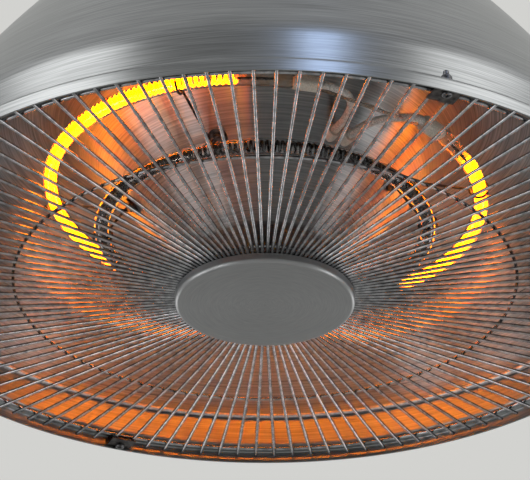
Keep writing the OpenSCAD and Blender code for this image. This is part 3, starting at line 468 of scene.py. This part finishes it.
reflector_side = (
    [(SKIRT_R - WALL_OFF, bead_c[1])]
    + arc(knuckle_c, KNUCKLE_R - WALL_OFF, DOME_LEAN / 3, DOME_LEAN, 4)
    + arc(dome_c, DOME_R - WALL_OFF, DOME_LEAN + 0.5, TROUGH_LEAN, 10)
    + arc(trough_c, TROUGH_R, TROUGH_LEAN + 3, 90, 22)
    + arc(ridge_c, RIDGE_R, 94, 90 + CONE_ANGLE, 12)
    + arc((flat_r - FLAT_BEND * tan(radians(CONE_ANGLE / 2)), FLAT_Z + FLAT_BEND), FLAT_BEND,
          270 + CONE_ANGLE, 270, 8)
    + [(STUD_HOLE_R, FLAT_Z)]
)
reflector = turned("reflector_sheet", sheet(reflector_side, REFLECTOR_T))
worn(reflector, "heater", reflector_sheet, "reflector_sheet", "reflector")
bead = turned("reflector_bead", arc(bead_c, BEAD_R, 0, 345, 23))
worn(bead, "heater", rolled_edge, "reflector_sheet")


# Guard

HUB_R, HUB_H, HUB_T, HUB_BEND, HUB_TOP = 66.7, 7.0, 1.0, 3.0, -8.161
# Where the hub cover's profile starts, and a ring of points half-way out that keeps its faces short
HUB_START_R, HUB_RING_R = 0.4, 30.0
hub_side = (
    [(HUB_START_R, HUB_TOP - HUB_H), (HUB_RING_R, HUB_TOP - HUB_H)]
    + arc((HUB_R - HUB_BEND, HUB_TOP - HUB_H + HUB_BEND), HUB_BEND, 270, 360, 10)
    + [(HUB_R, HUB_TOP)]
)
hub = turned("hub_cover", sheet(hub_side, HUB_T))
worn(hub, "heater", hub_steel, "hub_steel", "hub_disc")


# Elements: rings of radius R in their own frames, angles in degrees from +X towards +Y

OUTER_R, OUTER_Z, OUTER_SLOPE = 162.0, 76.5, (-0.058, -0.017)
INNER_R, INNER_Z = 122.0, 48.0
OUTER_ENDS, OUTER_LIT = (-38.5, 277), (-24, 263)
INNER_ENDS, INNER_LIT = (112, 428), (119, 421)
OUTER_CURLS, INNER_CURLS, CURL_R, CURL_STEPS = 185, 172, 3.6, 14
WIRE_R, WIRE_SIDES, TAIL_R = 1.05, 6, 0.9
# A tube's ends are pressed flat over a length, and keep these shares of its width and height
TUBE_R, TUBE_WALL, PRESSED_L, PRESSED_W, PRESSED_H = 5.75, 1.0, 12.0, 0.75, 0.28
CAP_L, CAP_W, CAP_H, CAP_ROUND, CAP_EDGE, SLEEVE_R = 19.5, 12.0, 10.0, 3.6, 1.0, 3.0

rim_place = Matrix.Translation((0, 0, RIM))
tilt = Matrix.Rotation(atan(hypot(*OUTER_SLOPE)), 4, Vector((OUTER_SLOPE[1], -OUTER_SLOPE[0], 0)))
outer_place = rim_place @ Matrix.Translation((0, 0, OUTER_Z * MM)) @ tilt
inner_place = rim_place @ Matrix.Translation((0, 0, INNER_Z * MM))


def about_z(angle):
    """A turn about the upright axis."""
    return Matrix.Rotation(radians(angle), 4, "Z")


def at_ring(radius, angle, height=0.0):
    """Place of a piece on a ring, its X pointing outwards and its Y along the ring."""
    return about_z(angle) @ Matrix.Translation((radius * MM, 0, height * MM))


def fill_ends():
    """In edit mode, close the open ends of a rod."""
    bpy.ops.mesh.select_all(action="DESELECT")
    bpy.ops.mesh.select_non_manifold()
    bpy.ops.mesh.fill()


def coil(name, ring_r, lit, curls, place):
    """Wind a wire into a straight helix, then bend the helix round its ring."""
    length = radians(lit[1] - lit[0]) * ring_r * MM
    wire = start(bpy.ops.mesh.primitive_circle_add, vertices=WIRE_SIDES, radius=WIRE_R * MM,
                 location=(0, CURL_R * MM, 0))
    modified(wire, "SCREW", axis="X", screw_offset=length / curls, angle=2 * pi, iterations=curls,
             steps=CURL_STEPS, render_steps=CURL_STEPS, use_smooth_shade=True)
    middle = sum((v.co for v in wire.data.vertices), Vector()) / len(wire.data.vertices)
    moved(wire, Matrix.Translation((-middle.x, 0, 0)))
    modified(wire, "SIMPLE_DEFORM", deform_method="BEND", deform_axis="Z",
             angle=radians(lit[1] - lit[0]))
    moved(wire, Matrix.Translation((0, -ring_r * MM, 0)))
    edit()
    fill_ends()
    bpy.ops.mesh.select_all(action="SELECT")
    bpy.ops.mesh.normals_make_consistent(inside=False)
    done()
    return moved(named(wire, name), place @ about_z((lit[0] + lit[1]) / 2 + 90))


def arc_rod(name, ring_r, ends, radius, place, sides=12):
    """Round rod that follows a ring between two angles, its ends closed."""
    steps = max(4, round(abs(ends[1] - ends[0]) / 2.5))
    rod = start(bpy.ops.mesh.primitive_circle_add, vertices=sides, radius=radius * MM,
                location=(ring_r * MM, 0, 0), rotation=(radians(90), 0, 0))
    edit()
    bpy.ops.mesh.spin(steps=steps, angle=-radians(ends[1] - ends[0]), center=(0, 0, 0), axis=(0, 0, 1))
    fill_ends()
    closed_up(rod, name)
    return moved(rod, place @ about_z(ends[0]))


outer_wire = coil("outer_coil", OUTER_R, OUTER_LIT, OUTER_CURLS, outer_place)
inner_wire = coil("inner_coil", INNER_R, INNER_LIT, INNER_CURLS, inner_place)
worn(outer_wire, "heater", lit_wire, "lit_filament", "outer_filament")
worn(inner_wire, "heater", dark_wire, "dark_filament", "inner_filament")

# Straight stretches between a coil and the pressed ends of its tube, which they meet this many degrees in
TAIL_IN = 4
tails = []
for ring_r, ends, lit, place in ((OUTER_R, OUTER_ENDS, OUTER_LIT, outer_place),
                                 (INNER_R, INNER_ENDS, INNER_LIT, inner_place)):
    tails.append(arc_rod("tail", ring_r, (ends[0] + TAIL_IN, lit[0]), TAIL_R, place))
    tails.append(arc_rod("tail", ring_r, (lit[1], ends[1] - TAIL_IN), TAIL_R, place))
worn(joined(tails, "coil_tails"), "heater", dark_wire, "dark_filament")


def quartz_ring(name, ring_r, ends, place):
    """Thin-walled tube, pressed flat where each end goes into its cap."""
    press = degrees(asin(PRESSED_L / ring_r))
    tube = arc_rod(name, ring_r, (ends[0] - press, ends[1] + press), TUBE_R, Matrix(), 32)
    span = radians(ends[1] - ends[0])
    for vertex in tube.data.vertices:
        turn = Vector((vertex.co.x, vertex.co.y)).angle_signed(Vector((1, 0)))
        if not 0 <= (turn - radians(ends[0])) % (2 * pi) <= span:
            out = hypot(vertex.co.x, vertex.co.y)
            k = (ring_r * MM + (out - ring_r * MM) * PRESSED_W) / out
            vertex.co = (vertex.co.x * k, vertex.co.y * k, vertex.co.z * PRESSED_H)
    modified(tube, "SOLIDIFY", thickness=TUBE_WALL * MM, offset=-1)
    return moved(tube, place)


outer_tube = quartz_ring("outer_tube", OUTER_R, OUTER_ENDS, outer_place)
inner_tube = quartz_ring("inner_tube", INNER_R, INNER_ENDS, inner_place)
# Where the tube was drawn off and sealed after it was filled
TIP_ANGLE, TIP_IN, TIP_LOW, TIP_SIZE = -83, 4.5, 3.5, (3.2, 2.6, 2.6)
tip = start(bpy.ops.mesh.primitive_uv_sphere_add, segments=16, ring_count=10, radius=1)
moved(tip, Matrix.Diagonal((*(size * MM for size in TIP_SIZE), 1)))
moved(tip, inner_place @ at_ring(INNER_R - TIP_IN, TIP_ANGLE, -TIP_LOW))
inner_tube = joined([inner_tube, tip], "inner_tube")
worn(outer_tube, "heater", lit_quartz, "lit_quartz", "outer_quartz_tube")
worn(inner_tube, "heater", clear_quartz, "clear_quartz", "inner_quartz_tube")


def half_cap(ring_r):
    """Degrees from a tube's end to the middle of its cap."""
    return degrees(asin((CAP_L / 2 + 0.5) / ring_r))


# Angles of the caps' middles, in the order of the lead routes
outer_caps = (OUTER_ENDS[1] + half_cap(OUTER_R), OUTER_ENDS[0] - half_cap(OUTER_R))
inner_caps = (INNER_ENDS[0] - half_cap(INNER_R), INNER_ENDS[1] + half_cap(INNER_R))


def end_caps(name, ring_r, angles, place):
    """A pair of caps, each with its length along the ring."""
    cap = block((CAP_W * MM, CAP_H * MM, CAP_L * MM), (0, 0, 0), CAP_ROUND * MM, CAP_EDGE * MM)
    moved(cap, Matrix.Rotation(radians(90), 4, "X"))
    return copied(cap, [place @ at_ring(ring_r, angle) for angle in angles], name)


worn(end_caps("outer_caps", OUTER_R, outer_caps, outer_place),
     "heater", ceramic, "white_ceramic", "outer_end_caps")
worn(end_caps("inner_caps", INNER_R, inner_caps, inner_place),
     "heater", ceramic, "white_ceramic", "inner_end_caps")


# Lead sleeves, by the same points as the solids

def polar(angle, radius, height):
    """A point at an angle and a radius, in mm from the rim's datum."""
    return Vector((radius * cos(radians(angle)), radius * sin(radians(angle)), height))


def tangent(angle):
    """The way along a level ring."""
    return Vector((-sin(radians(angle)), cos(radians(angle)), 0))


def outer_tangent(angle):
    """The way along the tilted outer ring."""
    along = tangent(angle)
    return Vector((along.x, along.y, OUTER_SLOPE[0] * along.x + OUTER_SLOPE[1] * along.y)).normalized()


def outer_at(angle):
    """A point of the tilted outer ring."""
    slope = atan(OUTER_SLOPE[0] * cos(radians(angle)) + OUTER_SLOPE[1] * sin(radians(angle)))
    return polar(angle, OUTER_R * cos(slope), OUTER_Z + OUTER_R * sin(slope))


def lead_start(cap_middle, way):
    """The first points of a lead, straight out of its cap."""
    return [cap_middle + d * way for d in (5, 10, 16)]


# Where the leads go into the terminal block, and the pitch of its ways
ENTRY_X, ENTRY_Z, WAY_PITCH = 27.94, crown_z + 11, 8


def lead_rise(x, y, way, lift):
    """The last points of a lead: up through the crown and across the box into a way of the block."""
    way_y = (way - 1.5) * WAY_PITCH
    return [Vector(p) for p in (
        (x, y, crown_z - 30), (x, y, crown_z - 5), (x, y, crown_z + 10),
        (x + 3, 0.87 * y, crown_z + 15 + lift),
        ((x + 3 + ENTRY_X) / 2 - 2, (0.87 * y + way_y) / 2, crown_z + 16 + lift),
        (ENTRY_X - 6, way_y, ENTRY_Z), (ENTRY_X - 2.5, way_y, ENTRY_Z),
        (ENTRY_X, way_y, ENTRY_Z))]


outer_routes = [
    lead_start(outer_at(outer_caps[0]), outer_tangent(outer_caps[0]))
    + [polar(*p) for p in ((-68.5, 156, 78), (-64.5, 143, 79), (-62.7, 128, 78), (-62.5, 114, 77),
                           (-62.5, 110, 77), (-62.5, 97, 77), (-62.5, 93, 77), (-64, 80, 88),
                           (-69, 66, 120), (-78, 48, 180))]
    + lead_rise(-3.4, -29.5, 1, 6),
    lead_start(outer_at(outer_caps[1]), -outer_tangent(outer_caps[1]))
    + [polar(*p) for p in ((-50.5, 152, 75), (-53, 141, 76.5), (-55, 128, 77), (-55.5, 114, 77),
                           (-55.5, 110, 77), (-55.5, 97, 77), (-55.5, 93, 77), (-56.5, 80, 88),
                           (-61, 66, 120), (-70, 48, 180))]
    + lead_rise(3.4, -29.5, 0, 0),
]
inner_routes = [
    lead_start(polar(inner_caps[0], INNER_R, INNER_Z), -tangent(inner_caps[0]))
    + [polar(*p) for p in ((97, 116, 48.5), (94.7, 104, 49.5), (94.5, 90, 50), (94.5, 86, 50),
                           (94.5, 72.5, 50), (94.5, 68.5, 50), (94.5, 58, 72), (94.5, 45, 120),
                           (95, 35, 180))]
    + lead_rise(-3.4, 29.5, 2, 6),
    lead_start(polar(inner_caps[1], INNER_R, INNER_Z), tangent(inner_caps[1]))
    + [polar(*p) for p in ((83, 116, 48.5), (85.3, 104, 49.5), (85.5, 90, 50), (85.5, 86, 50),
                           (85.5, 72.5, 50), (85.5, 68.5, 50), (85.5, 58, 72), (85.5, 45, 120),
                           (85, 35, 180))]
    + lead_rise(3.4, 29.5, 3, 0),
]


def smooth_route(points, steps=6):
    """A curve through the points, each stretch leaning on the points before and after it."""
    route = []
    for i in range(len(points) - 1):
        a, b, c = points[max(i - 1, 0)], points[i], points[i + 1]
        d = points[min(i + 2, len(points) - 1)]
        for k in range(steps):
            t = k / steps
            route.append(0.5 * (2 * b + (c - a) * t + (2 * a - 5 * b + 4 * c - d) * t * t
                                + (3 * b - a - 3 * c + d) * t ** 3))
    return route + [points[-1]]


def sleeve(name, points):
    """A round sleeve along the smooth route through the points."""
    route = smooth_route(points)
    path = bpy.data.curves.new(name, "CURVE")
    path.dimensions = "3D"
    path.bevel_depth, path.bevel_resolution, path.use_fill_caps = SLEEVE_R * MM, 4, True
    spline = path.splines.new("POLY")
    spline.points.add(len(route) - 1)
    for point, at in zip(spline.points, route):
        point.co = (*(at * MM + Vector((0, 0, RIM))), 1)
    piece = bpy.data.objects.new(name, path)
    bpy.context.scene.collection.objects.link(piece)
    only(piece)
    bpy.ops.object.convert(target="MESH")
    bpy.ops.object.shade_smooth()
    return bpy.context.object


worn(joined([sleeve("lead", r) for r in outer_routes], "outer_sleeves"),
     "heater", sleeve_fibre, "lead_sleeve", "outer_lead_sleeves")
worn(joined([sleeve("lead", r) for r in inner_routes], "inner_sleeves"),
     "heater", sleeve_fibre, "lead_sleeve", "inner_lead_sleeves")


# Fasteners

def cone_z(r):
    """Height of the cone's lower side."""
    slope = radians(CONE_ANGLE)
    return ridge_end[1] + (r - ridge_end[0]) * tan(slope) - REFLECTOR_T / cos(slope)


HEAD_R, HEAD_H, HEAD_ROUND, SHANK_R = 3.6, 2.4, 1.2, 2.0
RECESS_L, RECESS_W, RECESS_D = 3.6, 0.8, 1.3


def pan_screw(shank):
    """Pan-head screw with a cross recess, its head above z = 0."""
    head = start(bpy.ops.mesh.primitive_cylinder_add, vertices=32, radius=HEAD_R * MM,
                 depth=HEAD_H * MM, location=(0, 0, HEAD_H / 2 * MM))
    bevel_edges(head, lambda a, b: min(a.z, b.z) > (HEAD_H - 0.1) * MM, HEAD_ROUND * MM, 4)
    for turn in (0, 90):
        slot = start(bpy.ops.mesh.primitive_cube_add, size=1)
        moved(slot, about_z(turn) @ Matrix.Translation((0, 0, HEAD_H * MM))
              @ Matrix.Diagonal((RECESS_L * MM, RECESS_W * MM, 2 * RECESS_D * MM, 1)))
        modified(head, "BOOLEAN", object=slot, operation="DIFFERENCE")
        bpy.data.objects.remove(slot)
    rod = start(bpy.ops.mesh.primitive_cylinder_add, vertices=24, radius=SHANK_R * MM,
                depth=shank * MM, location=(0, 0, -shank / 2 * MM))
    return smoothed(joined([head, rod], "screw"))


flip = Matrix.Rotation(pi, 4, "X")
clip_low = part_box("guard_clips")[0].z
# From the crown's top to the top of the box's lid
BOX_H = 51.5
lid_top = CROWN + BOX_H * MM
# Angles and radii of the screws' places, and the lengths of their shanks. A bracket's wire lies between its
# screw's head and the cone
BRACKET_FEET, FOOT_R, FOOT_WIRE = (-110, -18, 58, 178), 100, 2.2
FLAT_SCREWS, FLAT_SCREW_R = (-135, -45, 45, 135), 21.2
CLIPS, CLIP_R = (24, 114, 204, 294), 294.1
LID_SCREW_X, LID_SCREW_Y = 44.5, 34.5
SHORT, MIDDLE, LONG = 8, 14, 17
worn(copied(pan_screw(SHORT), [
    rim_place @ about_z(a) @ Matrix.Translation((FOOT_R * MM, 0, cone_z(FOOT_R) * MM))
    @ Matrix.Rotation(radians(180 - CONE_ANGLE), 4, "Y") @ Matrix.Translation((0, 0, FOOT_WIRE * MM))
    for a in BRACKET_FEET], "bracket_pan_screws"), "heater", screw_steel, "screw_steel", "bracket_screws")
worn(copied(pan_screw(SHORT), [
    rim_place @ about_z(a) @ Matrix.Translation((FLAT_SCREW_R * MM, 0, (FLAT_Z - REFLECTOR_T) * MM)) @ flip
    for a in FLAT_SCREWS], "reflector_pan_screws"), "heater", screw_steel, "screw_steel", "reflector_screws")
worn(copied(pan_screw(LONG), [
    about_z(a) @ Matrix.Translation((CLIP_R * MM, 0, clip_low)) @ flip for a in CLIPS],
    "clip_pan_screws"), "heater", screw_steel, "screw_steel", "clip_screws")
worn(copied(pan_screw(MIDDLE), [
    Matrix.Translation((x * LID_SCREW_X * MM, y * LID_SCREW_Y * MM, lid_top))
    for x in (-1, 1) for y in (-1, 1)], "lid_pan_screws"), "heater", screw_steel, "screw_steel", "lid_screws")


def hex_nut(flats, height, edge):
    """Hexagon nut blank on z = 0 with softened corners."""
    nut = start(bpy.ops.mesh.primitive_cylinder_add, vertices=6, radius=flats / 2 / cos(radians(30)) * MM,
                depth=height * MM, location=(0, 0, height / 2 * MM), rotation=(0, 0, radians(30)))
    bevel_edges(nut, lambda a, b: True, edge * MM, 3)
    return smoothed(nut)


# AXIS_R is how near to the axis the outline of a small turned piece comes
ACORN_R, ACORN_FOOT, ACORN_ROUND_Z, ACORN_Z, AXIS_R = 3.3, 0.5, 4.5, 8.4, 0.05
acorn_top = turned("acorn", [(ACORN_R, ACORN_FOOT)] + arc((0, ACORN_ROUND_Z), ACORN_R, 0, 88, 10)
                   + [(AXIS_R, ACORN_ROUND_Z + ACORN_R), (AXIS_R, ACORN_FOOT)], base=0, steps=32)
acorn = joined([hex_nut(flats=7, height=3.2, edge=0.35), acorn_top], "acorn")
worn(copied(acorn, [rim_place @ about_z(a) @ Matrix.Translation((CLIP_R * MM, 0, ACORN_Z * MM))
                    for a in CLIPS], "cap_nuts"), "heater", screw_steel, "screw_steel", "acorn_nuts")


# Box on the crown and the eye

LID_X, LID_Y, LID_H, LID_ROUND, LID_EDGE, LID_WALL, LID_HOLLOW = 108.6, 88.6, 9.5, 14.3, 1.6, 1.2, 7.5
lid = block((LID_X * MM, LID_Y * MM, LID_H * MM), (0, 0, lid_top - LID_H / 2 * MM),
            LID_ROUND * MM, LID_EDGE * MM)
edit()
select(lid, "FACE", lambda face: face.normal.z < -0.99 and face.center.z < lid_top - (LID_H - 0.1) * MM)
bpy.ops.mesh.inset(thickness=LID_WALL * MM)
bpy.ops.mesh.extrude_region_move(TRANSFORM_OT_translate={"value": (0, 0, LID_HOLLOW * MM)})
done()
worn(named(smoothed(lid), "lid"), "heater", dome_steel, "dome_steel", "box_lid")

# The eye's ring is centred on the hanging point, and is deeper along Y than its wire is thick
EYE_R, EYE_WIRE_R, EYE_DEPTH, EYE_SHANK_R, SHANK_TOP, SHANK_EDGE = 11, 4, 1.5, 5, -9, 0.8
COLLAR_R, COLLAR_Z, FILLET_R, FILLET_Z = 6.2, -12, 4.2, -17.5
eye_ring = start(bpy.ops.mesh.primitive_torus_add, major_radius=EYE_R * MM, minor_radius=EYE_WIRE_R * MM,
                 major_segments=64, minor_segments=24, rotation=(radians(90), 0, 0))
moved(eye_ring, Matrix.Diagonal((1, EYE_DEPTH, 1, 1)))
eye_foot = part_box("hanging_eye")[0].z / MM
eye_shank = turned("shank", [(COLLAR_R, SHANK_TOP), (COLLAR_R, COLLAR_Z)]
                   + arc((EYE_SHANK_R + FILLET_R, FILLET_Z), FILLET_R, 150, 180, 4)
                   + [(EYE_SHANK_R, FILLET_Z - 1.5), (EYE_SHANK_R, eye_foot + SHANK_EDGE),
                      (EYE_SHANK_R - SHANK_EDGE, eye_foot), (AXIS_R, eye_foot), (AXIS_R, SHANK_TOP)],
                   base=0, steps=48)
eye = smoothed(joined([eye_ring, eye_shank], "forged_eye"))
worn(eye, "heater", zinc_steel, "zinc_steel", "hanging_eye")

# One nut lies on the washer on the lid, the other under the carrier's top plate
UPPER_NUT, LOWER_NUT = lid_top + 2 * MM, CROWN - 14.2 * MM
worn(copied(hex_nut(flats=16, height=8, edge=0.8),
            [Matrix.Translation((0, 0, z)) for z in (UPPER_NUT, LOWER_NUT)],
            "eye_lock_nuts"), "heater", zinc_steel, "zinc_steel", "eye_nuts")


# CAD nodes that keep their shape

KEPT = {
    guard_wire: ("guard_rods", "guard_outer_ring", "guard_middle_ring", "guard_hub_ring"),
    bracket_wire: ("element_brackets", "guard_clips"),
    screw_steel: ("clip_washers", "crown_bolts", "crown_nuts", "hub_stud", "hub_nuts"),
    zinc_steel: ("carrier_foot_plate", "carrier_tube", "carrier_top_plate", "eye_washers",
                 "hub_backplate", "hub_spacer"),
    dome_steel: ("switch_box",),
    black_rubber: ("crown_gasket", "crown_bushes", "lid_seal", "gland_seal"),
    black_plastic: ("cable_gland", "gland_cap", "gland_locknut", "outer_switch_body",
                    "inner_switch_body"),
    rocker_plastic: ("outer_rocker", "inner_rocker"),
    ceramic: ("lead_bushes", "terminal_block"),
    brass: ("terminal_screws",),
}
for material, names in KEPT.items():
    for name in names:
        NODES[name].data.materials.clear()
        NODES[name].data.materials.append(material)


# Room

# Below and in front, looking up; the lens makes the rim fill the picture as in the photo
CAMERA_PLACE, CAMERA_LEAN, LENS, SENSOR = (0, -1.8227, -1.3546), 119.62, 190.3, 36
view = bpy.data.cameras.new("view")
camera = bpy.data.objects.new("view", view)
bpy.context.scene.collection.objects.link(camera)
camera.location = CAMERA_PLACE
camera.rotation_euler = (radians(CAMERA_LEAN), 0, 0)
view.lens, view.sensor_width = LENS, SENSOR
bpy.context.scene.camera = camera
bpy.context.scene.view_settings.view_transform = "Standard"


def pale(name, text):
    """Plain matt paint for the room."""
    material, _, shader = new_material(name)
    shader.inputs["Base Color"].default_value = colour(text)
    shader.inputs["Roughness"].default_value = 0.9
    return material


def seen_pale(name, text):
    """The same paint, which the camera, metal and glass see at its own colour in any light."""
    material = pale(name, text)
    tree = material.node_tree
    shader = tree.nodes["Principled BSDF"]
    path = add(tree, "ShaderNodeLightPath").outputs
    seen = add(tree, "ShaderNodeMath", links={0: path["Is Camera Ray"], 1: path["Is Glossy Ray"]},
               operation="MAXIMUM")
    seen = add(tree, "ShaderNodeMath", links={0: seen.outputs[0], 1: path["Is Transmission Ray"]},
               operation="MAXIMUM")
    shown = add(tree, "ShaderNodeEmission", {"Color": colour(text), "Strength": 1.0})
    mix = add(tree, "ShaderNodeMixShader",
              links={"Fac": seen.outputs[0], 1: shader.outputs[0], 2: shown.outputs[0]})
    tree.links.new(mix.outputs[0], tree.nodes["Material Output"].inputs["Surface"])
    return material


ROOM, FLOOR_Z, BACK_PLACE = 30, -3.4, (0, 9, 12)
floor = start(bpy.ops.mesh.primitive_plane_add, size=ROOM, location=(0, 0, FLOOR_Z))
floor.name = "floor"
floor.data.materials.append(pale("Floor paint", "E2E2DF"))
back = start(bpy.ops.mesh.primitive_plane_add, size=ROOM, location=BACK_PLACE, rotation=(radians(90), 0, 0))
back.name = "backdrop"
back.data.materials.append(seen_pale("Wall paint", "D2D2CF"))


def lamp(name, place, target, size, watts, tint="FFFFFF"):
    """A round, soft lamp that points at its target."""
    light = bpy.data.lights.new(name, "AREA")
    light.shape, light.size, light.energy = "DISK", size, watts
    light.color = colour(tint)[:3]
    holder = bpy.data.objects.new(name, light)
    bpy.context.scene.collection.objects.link(holder)
    holder.location = place
    holder.rotation_euler = (Vector(target) - Vector(place)).to_track_quat("-Z", "Y").to_euler()


# Two large lamps for the dome, small ones that put bright lines on the rods, and a window's cool patch
lamp("key", (-2.3, -1.6, 0.7), (0, 0, -0.25), 2.0, 28)
lamp("fill", (2.3, -1.4, 0.5), (0, 0, -0.25), 2.0, 25)
lamp("low", (-1.5, -0.85, -1.7), (0, 0, -0.3), 0.5, 4)
for side in (-1, 1):
    lamp("side", (side * 1.9, 0.1, -1.5), (0, 0, -0.25), 1.0, 7)
    lamp("far", (side * 1.4, 2.2, -1.1), (0, 0, -0.3), 1.0, 5)
lamp("window", (0.5, -1.9, 0.75), (0, -0.3, -0.35), 0.4, 4.5, "BCD4FF")

world = bpy.data.worlds.new("room")
bpy.context.scene.world = world
world.use_nodes = True
sky = world.node_tree.nodes["Background"]
sky.inputs["Color"].default_value = colour("D0D0D0")
# The far side of the room is the lighter one, as with windows behind the heater
around = add(world.node_tree, "ShaderNodeTexCoord").outputs["Generated"]
ahead = add(world.node_tree, "ShaderNodeSeparateXYZ", links={"Vector": around})
level = add(world.node_tree, "ShaderNodeMapRange",
            {"From Min": -0.8, "From Max": 0.8, "To Min": 0.5, "To Max": 1.35},
            {"Value": ahead.outputs["Y"]})
world.node_tree.links.new(level.outputs["Result"], sky.inputs["Strength"])
